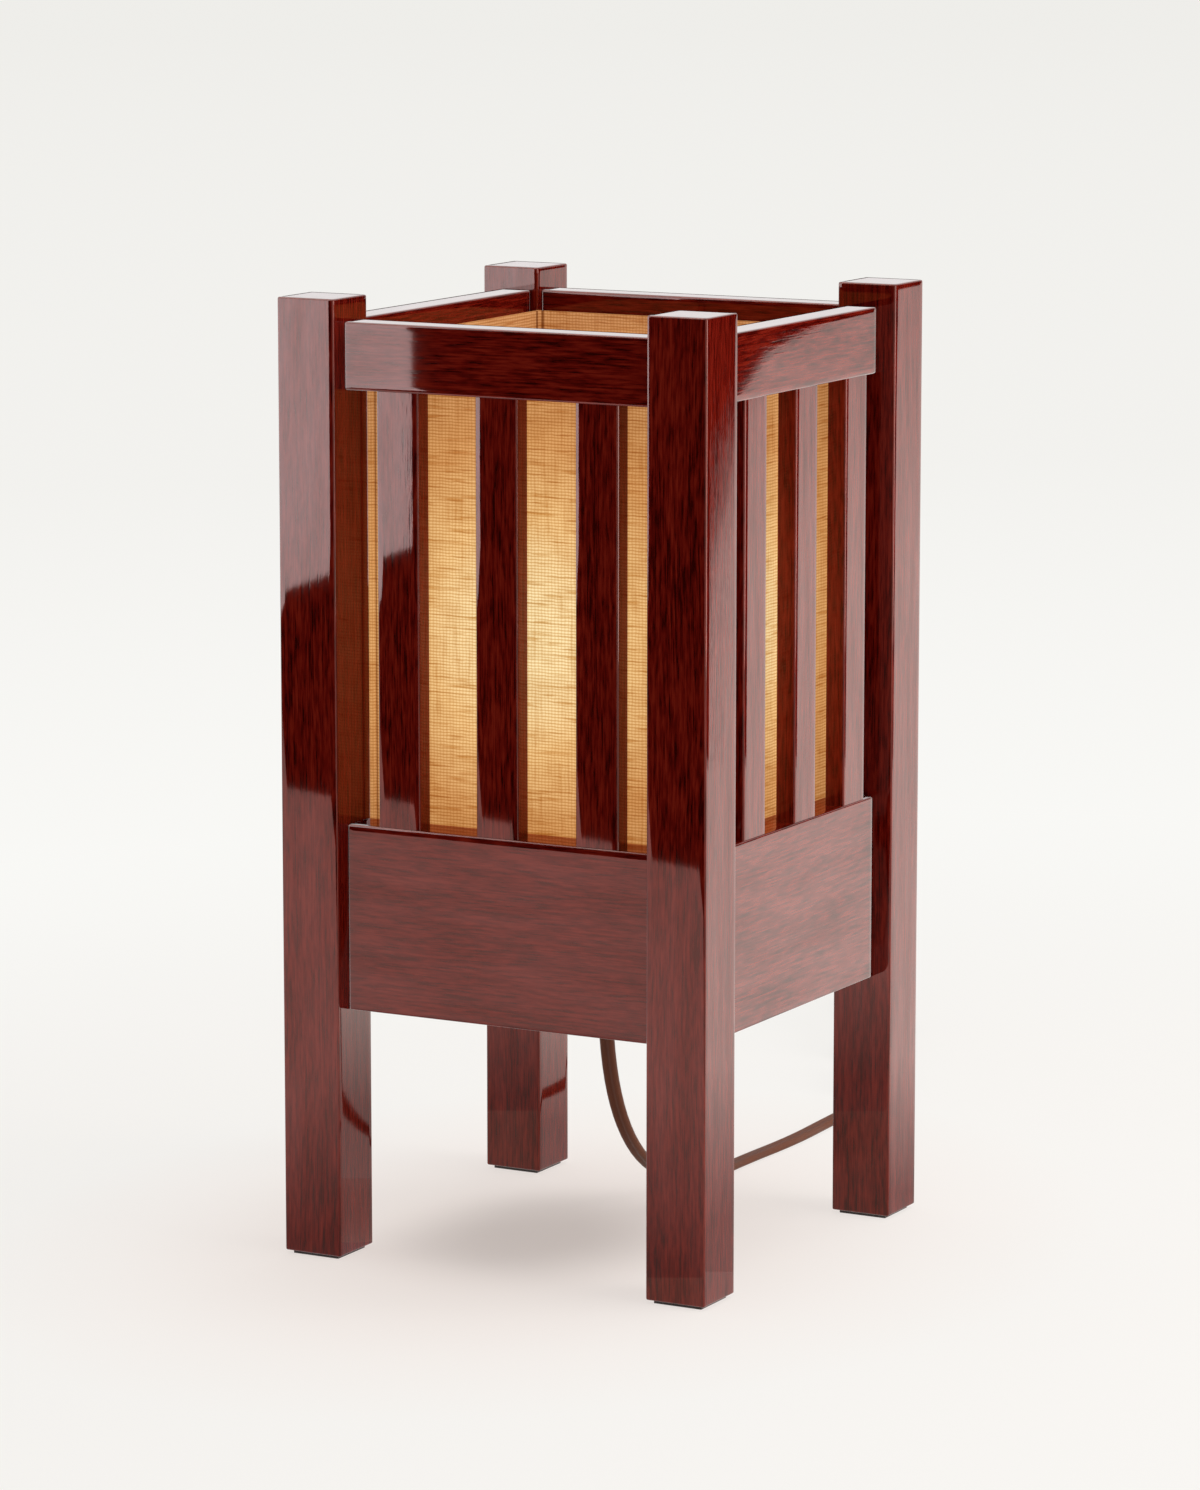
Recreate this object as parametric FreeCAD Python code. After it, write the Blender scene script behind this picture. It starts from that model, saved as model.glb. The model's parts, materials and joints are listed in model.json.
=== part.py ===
import FreeCAD, Part

import math
import os

# A wooden lantern table lamp: four posts joined by rails, aprons and slats round a lift-out fabric shade,
# with a lampholder and bulb on a base board and a flat flex that ends in a plug.
# Millimetres, +Z up, origin on the floor under the middle of the frame, front towards -Y.

Vector = FreeCAD.Vector
UP = Vector(0, 0, 1)

# Frame
FRAME_HEIGHT = 390.0
FRAME_WIDTH = 192.0
POST_WIDTH = 26.0
POST_EDGE = 2.0
PAD_THICKNESS = 1.5
PAD_INSET = 2.5

# Rails and aprons
RAIL_SETBACK = 8.5
RAIL_THICKNESS = 14.0
RAIL_HEIGHT = 27.0
RAIL_DROP = 9.5
RAIL_EDGE = 1.2
APRON_THICKNESS = 17.0
APRON_HEIGHT = 76.0
LEG_CLEAR_HEIGHT = 102.5

# Stub tenons of rails and aprons
TENON_SHOULDER = 3.0
TENON_THICKNESS = 8.0
TENON_WEB = 0.8
RAIL_TENON_INSET = 5.0
APRON_TENON_INSET = 10.0
MORTISE_GAP = 0.1

# Slats
SLATS_PER_SIDE = 3
SLAT_WIDTH = 19.0
SLAT_THICKNESS = 8.5
SLAT_END_GAP = 15.7
SLAT_STEP = 0.8
SLAT_EDGE = 0.8
FRONT_SLAT_SHIFT = -1.7
SIDE_SLAT_SHIFT = 9.0
SLAT_TENON_WIDTH = 12.0
SLAT_TENON_THICKNESS = 5.0
SLAT_TENON_LENGTH = 6.0

# Shade, base board and cleats
SHADE_CLEARANCE = 0.3
SHADE_WALL = 0.9
SHADE_CORNER = 1.5
SHADE_DROP = 8.2
BOARD_THICKNESS = 10.0
BOARD_EDGE = 1.0
CLEAT_DEPTH = 12.0
CLEAT_HEIGHT = 10.0
CLEAT_RISE = 8.0
CLEAT_END_GAP = 0.3

# Wood screws
SCREW_HEAD_RADIUS = 3.5
SCREW_SHANK_RADIUS = 1.75
SCREW_HEAD_HEIGHT = 1.9
SCREW_POINT = 4.0
SCREW_GAP = 0.05
BOARD_SCREW_LENGTH = 17.0
BOARD_SCREW_SPREAD = 30.0
CLEAT_SCREW_LENGTH = 22.0
CLEAT_SCREW_SPREAD = 46.0

# Nipple, nuts and strain relief
NIPPLE_RADIUS = 5.0
NIPPLE_BORE = 3.9
NIPPLE_ABOVE = 9.0
NIPPLE_BELOW = 16.0
THREAD_GAP = 0.1
NUT_ACROSS_FLATS = 15.0
NUT_THICKNESS = 4.0
WASHER_RADIUS = 11.0
WASHER_THICKNESS = 1.2
RELIEF_LENGTH = 22.0
RELIEF_TOP_RADIUS = 8.0
RELIEF_END_RADIUS = 5.2

# Lampholder
HOLDER_RADIUS = 18.0
HOLDER_WALL = 1.6
HOLDER_FLOOR = 2.2
HOLDER_CAP_HEIGHT = 24.0
CORE_FLANGE = 2.0
CORE_ABOVE = 10.0
CORE_BELOW = 12.0
CORE_GAP = 0.4
HOLDER_SHELL_HEIGHT = 38.0
SCREW_SHELL_WALL = 0.5
SCREW_SHELL_HEIGHT = 26.0
CONTACT_RADIUS = 4.0
CONTACT_THICKNESS = 1.2
LEAD_RADIUS = 1.4
LEAD_SPREAD = 1.8

# Bulb
BULB_CAP_RADIUS = 13.15
BULB_CAP_HEIGHT = 22.0
BULB_CAP_WALL = 0.5
BULB_THREAD_GAP = 0.1
BULB_TIP_RADIUS = 4.6
BULB_TIP_HEIGHT = 1.6
INSULATOR_HEIGHT = 3.4
INSULATOR_TOP_RADIUS = 11.5
INSULATOR_LOW_RADIUS = 5.5
GLOBE_RADIUS = 30.0
GLOBE_WALL = 0.8
GLOBE_HEIGHT = 76.0
GLOBE_SHOULDER = 45.0
NECK_START = 12.0
NECK_GAP = 0.1
STEM_FLARE = 1.5
STEM_RADIUS = 4.5
STEM_TOP = 48.0
FILAMENT_WIRE = 0.45
FILAMENT_SPREAD = 3.0
FILAMENT_TOP = 72.0

# Flat flex
CORD_WIDTH = 6.6
CORD_THICKNESS = 3.4
CORD_HOLE_GAP = 0.15
ARC_SHARE = 0.45

# Where the put-away flex lies: an axis on the floor behind the frame
LAY_START = Vector(17.5, 218.4, 0)
LAY_HEADING = 115.75
CORD_ENTRY_HEIGHT = 5.0

# The flex from the base towards the switch; the points at its two ends are worked out below
CORD_POINTS = (
    Vector(0, 0, 80.0),
    Vector(0, 12.0, 44.0),
    Vector(-0.5, 38.0, 18.0),
    Vector(-1.0, 80.0, 2.0),
    Vector(-2.2, 125.0, 1.8),
    Vector(0.6, 172.0, 1.8),
    Vector(-1.5, 212.0, 1.8),
)

# The flex's last run is square to the switch
CORD_LAST_RUN = 24.0

# In-line switch
SWITCH_START = 58.0
SWITCH_LENGTH = 48.0
SWITCH_WIDTH = 20.0
SWITCH_BASE_HEIGHT = 5.0
SWITCH_COVER_HEIGHT = 7.0
SWITCH_CORNER = 5.0
SWITCH_EDGE = 1.5
WHEEL_RADIUS = 9.0
WHEEL_THICKNESS = 4.6
WHEEL_OFFSET = 3.5
WHEEL_RISE = 1.75
WHEEL_GAP = 0.1
WHEEL_RIM_GAP = 0.4
WHEEL_NOTCHES = 24
WHEEL_NOTCH_RADIUS = 0.6
AXLE_RADIUS = 1.6
AXLE_GAP = 0.05
SWITCH_SCREW_LENGTH = 8.0
SWITCH_SCREW_X = 19.0
SWITCH_SCREW_Y = 5.5
SWITCH_SCREW_SCALE = 0.6

# Hank
HANK_LEAD = 42.0
HANK_HALF_RUN = 57.0
HANK_LOOPS = 2
HANK_OUTER = 16.0
HANK_STEP = 4.0
HANK_LAYER_STEP = 7.1
HANK_DRAW = 6.0
TIE_HALF_WIDTH = 4.0
TIE_THICKNESS = 1.2
TIE_GAP = 0.4

# Plug
PLUG_WIDTH = 23.0
PLUG_THICKNESS = 13.0
PLUG_LENGTH = 28.0
PLUG_CORNER = 3.5
PLUG_NECK_WIDTH = 12.0
PLUG_NECK_THICKNESS = 9.0
PLUG_RELIEF_LENGTH = 20.0
PLUG_RELIEF_WIDTH = 8.2
PLUG_RELIEF_THICKNESS = 5.0
PLUG_TAPER = 9.0
PLUG_SEAT_GAP = 0.1
PLUG_REAR = 30.0
PLUG_LATERAL = -4.0
TAIL_LIFT = 7.2
BLADE_SPACING = 12.7
BLADE_THICKNESS = 1.5
BLADE_WIDTH = 6.3
BLADE_LENGTH = 17.5
BLADE_ROOT = 6.0
BLADE_HOLE_RADIUS = 1.6
BLADE_HOLE_INSET = 4.0
BLADE_GAP = 0.05

SIDES = {"front": 0.0, "right": 90.0, "back": 180.0, "left": 270.0}
SLAT_SHIFTS = {
    "front": FRONT_SLAT_SHIFT,
    "right": SIDE_SLAT_SHIFT,
    "back": -FRONT_SLAT_SHIFT,
    "left": -SIDE_SLAT_SHIFT,
}
CORNERS = {
    "front_left": (-1, -1),
    "front_right": (1, -1),
    "back_right": (1, 1),
    "back_left": (-1, 1),
}

half_frame = FRAME_WIDTH / 2
post_inner = half_frame - POST_WIDTH
rail_front = -half_frame + RAIL_SETBACK
rail_top = FRAME_HEIGHT - RAIL_DROP
rail_bottom = rail_top - RAIL_HEIGHT
apron_top = LEG_CLEAR_HEIGHT + APRON_HEIGHT
apron_inner = -rail_front - APRON_THICKNESS
tenon_length = POST_WIDTH - RAIL_SETBACK - TENON_SHOULDER - TENON_THICKNESS - TENON_WEB
slat_front = rail_front + SLAT_STEP
slat_pitch = 2 * (post_inner - SLAT_END_GAP - SLAT_WIDTH / 2) / (SLATS_PER_SIDE - 1)
shade_half = post_inner - SHADE_CLEARANCE
shade_top = rail_top - SHADE_DROP
cleat_bottom = LEG_CLEAR_HEIGHT + CLEAT_RISE
board_bottom = cleat_bottom + CLEAT_HEIGHT
board_top = board_bottom + BOARD_THICKNESS
washer_bottom = board_bottom - WASHER_THICKNESS
relief_top = washer_bottom - NUT_THICKNESS
relief_bottom = relief_top - RELIEF_LENGTH
nipple_bottom = board_bottom - NIPPLE_BELOW
core_bottom = board_top + CORE_BELOW
flange_bottom = board_top + HOLDER_CAP_HEIGHT
flange_top = flange_bottom + CORE_FLANGE
core_top = flange_top + CORE_ABOVE
bulb_foot = core_top + CONTACT_THICKNESS
screw_shell_inner = BULB_CAP_RADIUS + BULB_THREAD_GAP
switch_end = SWITCH_START + SWITCH_LENGTH
hank_middle = switch_end + HANK_LEAD + HANK_HALF_RUN
hank_low = CORD_ENTRY_HEIGHT
hank_high = hank_low + HANK_LAYER_STEP
hank_top = hank_high + CORD_WIDTH / 2
tie_top = hank_top + TIE_GAP + TIE_THICKNESS
plug_centre_height = tie_top + PLUG_SEAT_GAP + PLUG_THICKNESS / 2


def box(low, high):
    """A box between two opposite corners."""
    size = [b - a for a, b in zip(low, high)]
    return Part.makeBox(*size, Vector(*low))


def grown(low, high, gap):
    """A box that is larger by a gap all round."""
    return box([value - gap for value in low], [value + gap for value in high])


def cylinder(radius, low, high, x=0.0, y=0.0):
    """An upright cylinder between two heights."""
    return Part.makeCylinder(radius, high - low, Vector(x, y, low))


def ring(outer, inner, low, high):
    """An upright tube about the middle of the lamp."""
    return cylinder(outer, low, high).cut(cylinder(inner, low, high))


def turned(shape, degrees):
    """A copy turned about the upright axis through the origin."""
    copy = shape.copy()
    copy.rotate(Vector(0, 0, 0), UP, degrees)
    return copy


def moved(shape, x, y, z):
    """A copy moved by an offset."""
    copy = shape.copy()
    copy.translate(Vector(x, y, z))
    return copy


def laid(shape):
    """A copy brought from the put-away flex's own axis to its place behind the frame."""
    copy = turned(shape, LAY_HEADING)
    copy.translate(LAY_START)
    return copy


def upright_edges(solid):
    """The edges of a solid that run straight up."""
    return [
        edge
        for edge in solid.Edges
        if abs((edge.Vertexes[0].Point - edge.Vertexes[-1].Point).normalize().z) > 0.999
    ]


def revolved(edges):
    """A solid of revolution about the lamp's axis, from a closed outline in the XZ plane."""
    face = Part.Face(Part.Wire(edges))
    return face.revolve(Vector(0, 0, 0), UP, 360)


def outline(points):
    """Straight edges through points given as radius and height, closed."""
    corners = [Vector(radius, 0, height) for radius, height in points]
    return Part.makePolygon(corners + corners[:1]).Edges


def fused(first, *others):
    """One solid from several, with the seams between them removed."""
    return first.multiFuse(list(others)).removeSplitter()


# Posts, rails, aprons and slats


def rail_tenon(low_z, high_z, inset):
    """The corners of the bar whose two ends are a rail's stub tenons."""
    reach = post_inner + tenon_length
    front = rail_front + TENON_SHOULDER
    return (
        (-reach, front, low_z + inset),
        (reach, front + TENON_THICKNESS, high_z - inset),
    )


def slat_places(side):
    """The middles of one side's slats, along that side."""
    middle = (SLATS_PER_SIDE - 1) / 2
    return [SLAT_SHIFTS[side] + (n - middle) * slat_pitch for n in range(SLATS_PER_SIDE)]


def slat_tenon(place):
    """The corners of the bar whose two ends are a slat's tenons."""
    middle = slat_front + SLAT_THICKNESS / 2
    return (
        (place - SLAT_TENON_WIDTH / 2, middle - SLAT_TENON_THICKNESS / 2, apron_top - SLAT_TENON_LENGTH),
        (place + SLAT_TENON_WIDTH / 2, middle + SLAT_TENON_THICKNESS / 2, rail_bottom + SLAT_TENON_LENGTH),
    )


def cross_piece(low_z, high_z, thickness, inset, side):
    """A rail or apron of the front side, with its tenons and one side's slat mortises."""
    body = box((-post_inner, rail_front, low_z), (post_inner, rail_front + thickness, high_z))
    body = body.makeFillet(RAIL_EDGE, body.Edges)
    body = fused(body, box(*rail_tenon(low_z, high_z, inset)))
    mortises = [grown(*slat_tenon(place), MORTISE_GAP) for place in slat_places(side)]
    return body.cut(mortises)


def slat(place):
    """A slat of the front side, with a tenon at each end."""
    body = box(
        (place - SLAT_WIDTH / 2, slat_front, apron_top),
        (place + SLAT_WIDTH / 2, slat_front + SLAT_THICKNESS, rail_bottom),
    )
    body = body.makeFillet(SLAT_EDGE, body.Edges)
    return fused(body, box(*slat_tenon(place)))


def post(x_sign, y_sign):
    """A corner post with the mortises of the two rails and two aprons that it holds."""
    xs = sorted((x_sign * half_frame, x_sign * post_inner))
    ys = sorted((y_sign * half_frame, y_sign * post_inner))
    body = box((xs[0], ys[0], PAD_THICKNESS), (xs[1], ys[1], FRAME_HEIGHT))
    body = body.makeFillet(POST_EDGE, body.Edges)
    bars = [
        grown(*rail_tenon(rail_bottom, rail_top, RAIL_TENON_INSET), MORTISE_GAP),
        grown(*rail_tenon(LEG_CLEAR_HEIGHT, apron_top, APRON_TENON_INSET), MORTISE_GAP),
    ]
    return body.cut([turned(bar, angle) for bar in bars for angle in SIDES.values()])


def foot_pads():
    """The four felt pads under the posts."""
    inner = post_inner + PAD_INSET
    outer = half_frame - PAD_INSET
    pads = []
    for x_sign, y_sign in CORNERS.values():
        xs = sorted((x_sign * inner, x_sign * outer))
        ys = sorted((y_sign * inner, y_sign * outer))
        pads.append(box((xs[0], ys[0], 0), (xs[1], ys[1], PAD_THICKNESS)))
    return Part.makeCompound(pads)


# Base board, cleats and their screws


def wood_screw(length, gap=0.0, scale=1.0):
    """A countersunk screw with its head's top at the origin, pointing down; a gap makes its hole."""
    head = SCREW_HEAD_RADIUS * scale + gap
    shank = SCREW_SHANK_RADIUS * scale + gap
    taper = SCREW_HEAD_HEIGHT * scale
    point = SCREW_POINT * scale
    end = length + gap
    return revolved(outline([(0, 0), (head, 0), (shank, -taper), (shank, point - end), (0, -end)]))


def board_screws(gap=0.0):
    """The screws that hold the board down on the front and back cleats."""
    screw = wood_screw(BOARD_SCREW_LENGTH, gap)
    row = apron_inner - CLEAT_DEPTH / 2
    return [
        moved(screw, x * BOARD_SCREW_SPREAD, y * row, board_top)
        for x, y in CORNERS.values()
    ]


def cleat_screws(gap=0.0):
    """The screws that hold the four cleats on their aprons."""
    screw = wood_screw(CLEAT_SCREW_LENGTH, gap)
    screw.rotate(Vector(0, 0, 0), Vector(1, 0, 0), -90)
    height = cleat_bottom + CLEAT_HEIGHT / 2
    head = -apron_inner + CLEAT_DEPTH
    pair = [moved(screw, sign * CLEAT_SCREW_SPREAD, head, height) for sign in (-1, 1)]
    return [turned(one, angle) for angle in SIDES.values() for one in pair]


def cleat(side):
    """A strip inside an apron; the side strips fit between the front and back ones."""
    reach = shade_half
    if side in ("left", "right"):
        reach = apron_inner - CLEAT_DEPTH - CLEAT_END_GAP
    body = box(
        (-reach, -apron_inner, cleat_bottom),
        (reach, -apron_inner + CLEAT_DEPTH, board_bottom),
    )
    return turned(body, SIDES[side]).cut(board_screws(SCREW_GAP) + cleat_screws(SCREW_GAP))


def base_board():
    """The square board that carries the shade and the lampholder."""
    body = box((-shade_half, -shade_half, board_bottom), (shade_half, shade_half, board_top))
    body = body.makeFillet(BOARD_EDGE, upright_edges(body))
    hole = cylinder(NIPPLE_RADIUS + THREAD_GAP, board_bottom, board_top)
    return body.cut([hole] + board_screws(SCREW_GAP))


def shade():
    """The square fabric tube, which stands on the board and lifts out upwards."""
    inner_half = shade_half - SHADE_WALL
    outer = box((-shade_half, -shade_half, board_top), (shade_half, shade_half, shade_top))
    outer = outer.makeFillet(SHADE_CORNER, upright_edges(outer))
    inner = box((-inner_half, -inner_half, board_top), (inner_half, inner_half, shade_top))
    inner = inner.makeFillet(SHADE_CORNER - SHADE_WALL, upright_edges(inner))
    return outer.cut(inner)


# Nipple, lampholder and bulb


def hexagon_nut(low):
    """A lock nut on the nipple, from a given height."""
    radius = NUT_ACROSS_FLATS / math.sqrt(3)
    corners = [
        Vector(radius * math.cos(math.radians(60 * n)), radius * math.sin(math.radians(60 * n)), low)
        for n in range(7)
    ]
    prism = Part.Face(Part.makePolygon(corners)).extrude(UP * NUT_THICKNESS)
    return prism.cut(cylinder(NIPPLE_RADIUS + THREAD_GAP, low, low + NUT_THICKNESS))


def cord_section(centre, wide, thick, gap=0.0):
    """The flat flex's section: two half circles and two straight sides."""
    radius = CORD_THICKNESS / 2 + gap
    reach = (CORD_WIDTH - CORD_THICKNESS) / 2
    right = centre + wide * reach
    left = centre - wide * reach
    side = thick * radius
    end = wide * radius
    return Part.Wire(
        [
            Part.LineSegment(left + side, right + side).toShape(),
            Part.Arc(right + side, right + end, right - side).toShape(),
            Part.LineSegment(right - side, left - side).toShape(),
            Part.Arc(left - side, left - end, left + side).toShape(),
        ]
    )


def strain_relief():
    """The tapered sleeve on the nipple's lower end, with the flex's slot through it."""
    body = Part.makeCone(RELIEF_END_RADIUS, RELIEF_TOP_RADIUS, RELIEF_LENGTH, Vector(0, 0, relief_bottom))
    socket = cylinder(NIPPLE_RADIUS + THREAD_GAP, nipple_bottom, relief_top)
    section = cord_section(Vector(0, 0, relief_bottom), Vector(1, 0, 0), Vector(0, 1, 0), CORD_HOLE_GAP)
    slot = Part.Face(section).extrude(UP * (nipple_bottom - relief_bottom))
    return body.cut([socket, slot])


def holder_cap():
    """The cup that screws onto the nipple and holds the insulating core."""
    inner = HOLDER_RADIUS - HOLDER_WALL
    body = cylinder(HOLDER_RADIUS, board_top, flange_bottom)
    hollow = cylinder(inner, board_top + HOLDER_FLOOR, flange_bottom)
    hole = cylinder(NIPPLE_RADIUS + THREAD_GAP, board_top, board_top + HOLDER_FLOOR)
    return body.cut([hollow, hole])


def holder_core():
    """The insulator, whose flange is held between the cap and the outer shell."""
    inner = HOLDER_RADIUS - HOLDER_WALL - CORE_GAP
    body = cylinder(inner, core_bottom, core_top)
    flange = cylinder(HOLDER_RADIUS, flange_bottom, flange_top)
    return fused(body, flange)


def supply_leads():
    """The two leads from the flex's end, up through the nipple to the core."""
    return Part.makeCompound(
        [cylinder(LEAD_RADIUS, nipple_bottom, core_bottom, x=side * LEAD_SPREAD) for side in (-1, 1)]
    )


def bulb_insulator():
    """The glass disc between the bulb's tip and its screw cap."""
    low = bulb_foot + BULB_TIP_HEIGHT
    return Part.makeCone(INSULATOR_LOW_RADIUS, INSULATOR_TOP_RADIUS, INSULATOR_HEIGHT, Vector(0, 0, low))


def bulb_cap():
    """The screw cap: a thin cup."""
    low = bulb_foot + BULB_TIP_HEIGHT + INSULATOR_HEIGHT
    body = cylinder(BULB_CAP_RADIUS, low, low + BULB_CAP_HEIGHT)
    hollow = cylinder(BULB_CAP_RADIUS - BULB_CAP_WALL, low + BULB_CAP_WALL, low + BULB_CAP_HEIGHT)
    return body.cut(hollow)


def globe_edges(neck, radius, shoulder_radius, shoulder_centre):
    """A globe's neck, shoulder and crown, from the bottom of the neck to the top of the axis."""
    middle = bulb_foot + GLOBE_HEIGHT
    across = shoulder_centre.x
    reach = math.hypot(across, middle - shoulder_centre.z)
    towards = Vector(across / reach, 0, (shoulder_centre.z - middle) / reach)
    join = Vector(0, 0, middle) + towards * radius
    neck_top = Vector(neck, 0, shoulder_centre.z)
    bisector = ((neck_top - shoulder_centre) + (join - shoulder_centre)).normalize()
    waist = shoulder_centre + bisector * shoulder_radius
    tilt = math.atan2(towards.z, towards.x)
    side_angle = (tilt + math.pi / 2) / 2
    side = Vector(radius * math.cos(side_angle), 0, middle + radius * math.sin(side_angle))
    crown = Vector(0, 0, middle + radius)
    return [
        Part.LineSegment(Vector(neck, 0, bulb_foot + NECK_START), neck_top).toShape(),
        Part.Arc(neck_top, waist, join).toShape(),
        Part.Arc(join, side, crown).toShape(),
    ]


def bulb_globe():
    """The hollow glass of the bulb."""
    neck = BULB_CAP_RADIUS - BULB_CAP_WALL - NECK_GAP
    across = neck + GLOBE_SHOULDER
    drop = math.sqrt((GLOBE_RADIUS + GLOBE_SHOULDER) ** 2 - across**2)
    centre = Vector(across, 0, bulb_foot + GLOBE_HEIGHT - drop)
    outer = globe_edges(neck, GLOBE_RADIUS, GLOBE_SHOULDER, centre)
    inner = globe_edges(neck - GLOBE_WALL, GLOBE_RADIUS - GLOBE_WALL, GLOBE_SHOULDER + GLOBE_WALL, centre)
    crown = bulb_foot + GLOBE_HEIGHT + GLOBE_RADIUS
    foot = bulb_foot + NECK_START
    closing = [
        Part.LineSegment(Vector(0, 0, crown), Vector(0, 0, crown - GLOBE_WALL)).toShape(),
        Part.LineSegment(Vector(neck - GLOBE_WALL, 0, foot), Vector(neck, 0, foot)).toShape(),
    ]
    return revolved(Part.__sortEdges__(outer + inner + closing))


def bulb_stem():
    """The glass stem inside the neck, which carries the filament."""
    flare = BULB_CAP_RADIUS - BULB_CAP_WALL - GLOBE_WALL - 2 * NECK_GAP
    low = bulb_foot + NECK_START
    disc = cylinder(flare, low, low + STEM_FLARE)
    return fused(disc, cylinder(STEM_RADIUS, low + STEM_FLARE, bulb_foot + STEM_TOP))


def filament():
    """The hairpin filament on top of the stem."""
    low = bulb_foot + STEM_TOP
    high = bulb_foot + FILAMENT_TOP
    left = Vector(-FILAMENT_SPREAD, 0, high)
    right = Vector(FILAMENT_SPREAD, 0, high)
    start = Vector(-FILAMENT_SPREAD, 0, low)
    path = Part.Wire(
        [
            Part.LineSegment(start, left).toShape(),
            Part.Arc(left, Vector(0, 0, high + FILAMENT_SPREAD), right).toShape(),
            Part.LineSegment(right, Vector(FILAMENT_SPREAD, 0, low)).toShape(),
        ]
    )
    section = Part.Wire(Part.makeCircle(FILAMENT_WIRE, start, UP))
    return path.makePipeShell([section], True, False)


# Flex, switch, hank, tie and plug


def on_lay(x, y, z):
    """A point of the put-away flex's own axis, in the lamp's frame."""
    turn = math.radians(LAY_HEADING)
    ahead = Vector(math.cos(turn), math.sin(turn), 0)
    across = Vector(-math.sin(turn), math.cos(turn), 0)
    return LAY_START + ahead * x + across * y + UP * z


def rounded_route(points):
    """Straight runs joined by the largest tangent arcs that they leave room for, and the arcs' radii."""
    edges = []
    radii = []
    last = points[0]
    for before, corner, after in zip(points, points[1:], points[2:]):
        back = before - corner
        on = after - corner
        reach = ARC_SHARE * min(back.Length, on.Length)
        back.normalize()
        on.normalize()
        half_turn = (math.pi - back.getAngle(on)) / 2
        radius = reach / math.tan(half_turn)
        inside = (back + on).normalize()
        middle = corner + inside * (radius / math.cos(half_turn) - radius)
        start = corner + back * reach
        end = corner + on * reach
        edges.append(Part.LineSegment(last, start).toShape())
        edges.append(Part.Arc(start, middle, end).toShape())
        radii.append(radius)
        last = end
    edges.append(Part.LineSegment(last, points[-1]).toShape())
    return Part.Wire(edges), radii


def cord_run():
    """The flex from the nipple, through the strain relief and over the floor to the switch."""
    start = Vector(0, 0, nipple_bottom)
    turn = on_lay(SWITCH_START - CORD_LAST_RUN, 0, CORD_ENTRY_HEIGHT)
    end = on_lay(SWITCH_START, 0, CORD_ENTRY_HEIGHT)
    path, radii = rounded_route([start, *CORD_POINTS, turn, end])
    tube = path.makePipeShell([cord_section(start, Vector(1, 0, 0), Vector(0, 1, 0))], True, False)
    area = Part.Face(cord_section(start, Vector(1, 0, 0), Vector(0, 1, 0))).Area
    print("cord_run radii", [round(radius, 1) for radius in radii], "length", round(path.Length, 1))
    print("cord_run volume over section times length", round(tube.Volume / (area * path.Length), 4))
    return tube


def biarc(start, heading, end, final):
    """Two arcs that leave one point along a heading and reach another along its own, joined smoothly."""
    chord = end - start
    total = heading + final
    slack = 2 * (1 - heading.dot(final))
    along = chord.dot(total)
    if slack < 1e-9:
        reach = chord.dot(chord) / (4 * chord.dot(final))
    else:
        reach = (math.sqrt(along**2 + slack * chord.dot(chord)) - along) / slack
    join = (start + end + (heading - final) * reach) * 0.5
    edges = []
    for first, control, last in (
        (start, start + heading * reach, join),
        (join, end - final * reach, end),
    ):
        weight = (last - first).Length / (2 * reach)
        middle = (first + control * (2 * weight) + last) * (1 / (2 + 2 * weight))
        straight = (middle - (first + last) * 0.5).Length < 1e-6
        if straight:
            edges.append(Part.LineSegment(first, last).toShape())
        else:
            edges.append(Part.Arc(first, middle, last).toShape())
    return edges


def hank_stops():
    """The hank's points and headings on its own axis: the lead, the loops of both layers and the tail."""
    ahead = Vector(1, 0, 0)
    half_step = HANK_STEP / 2
    shift = -half_step / 2
    inward = [HANK_OUTER - n * half_step for n in range(2 * HANK_LOOPS + 1)]
    offsets = inward + inward[-2::-1]
    climb = len(inward) - 1
    final = len(offsets) - 1
    tail_height = hank_high + TAIL_LIFT
    stops = [(Vector(switch_end, 0, hank_low), ahead)]
    for n, offset in enumerate(offsets):
        sign = 1 if n % 2 == 0 else -1
        start = hank_low if n <= climb else hank_high
        end = hank_low if n < climb else hank_high
        if n == final:
            end = tail_height
        middle = start if n == final else (start + end) / 2
        place = sign * offset + shift
        drawn = sign * (offset - HANK_DRAW) + shift
        stops.append((Vector(hank_middle - sign * HANK_HALF_RUN, place, start), ahead * sign))
        stops.append((Vector(hank_middle, drawn, middle), ahead * sign))
        stops.append((Vector(hank_middle + sign * HANK_HALF_RUN, place, end), ahead * sign))
        after = -sign * offsets[n + 1] + shift if n < final else PLUG_LATERAL
        radius = abs(place - after) / 2
        apex = Vector(hank_middle + sign * (HANK_HALF_RUN + radius), (place + after) / 2, end)
        stops.append((apex, Vector(0, -sign, 0)))
    stops.append((Vector(hank_middle + HANK_HALF_RUN, PLUG_LATERAL, tail_height), ahead * -1))
    stops.append((Vector(hank_middle + PLUG_REAR, PLUG_LATERAL, plug_centre_height), ahead * -1))
    return stops


def least_gap(path):
    """The least gap between stretches of the hank that aren't neighbours along it, measured on points."""
    spacing = 2.0
    shortest_stretch = 12.0
    points = path.discretize(Distance=spacing)
    apart = int(shortest_stretch / spacing)
    best = math.inf
    for i, one in enumerate(points):
        for other in points[i + apart :]:
            sideways = math.hypot(one.x - other.x, one.y - other.y) - CORD_THICKNESS
            upwards = abs(one.z - other.z) - CORD_WIDTH
            best = min(best, max(sideways, upwards))
    return best


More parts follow.
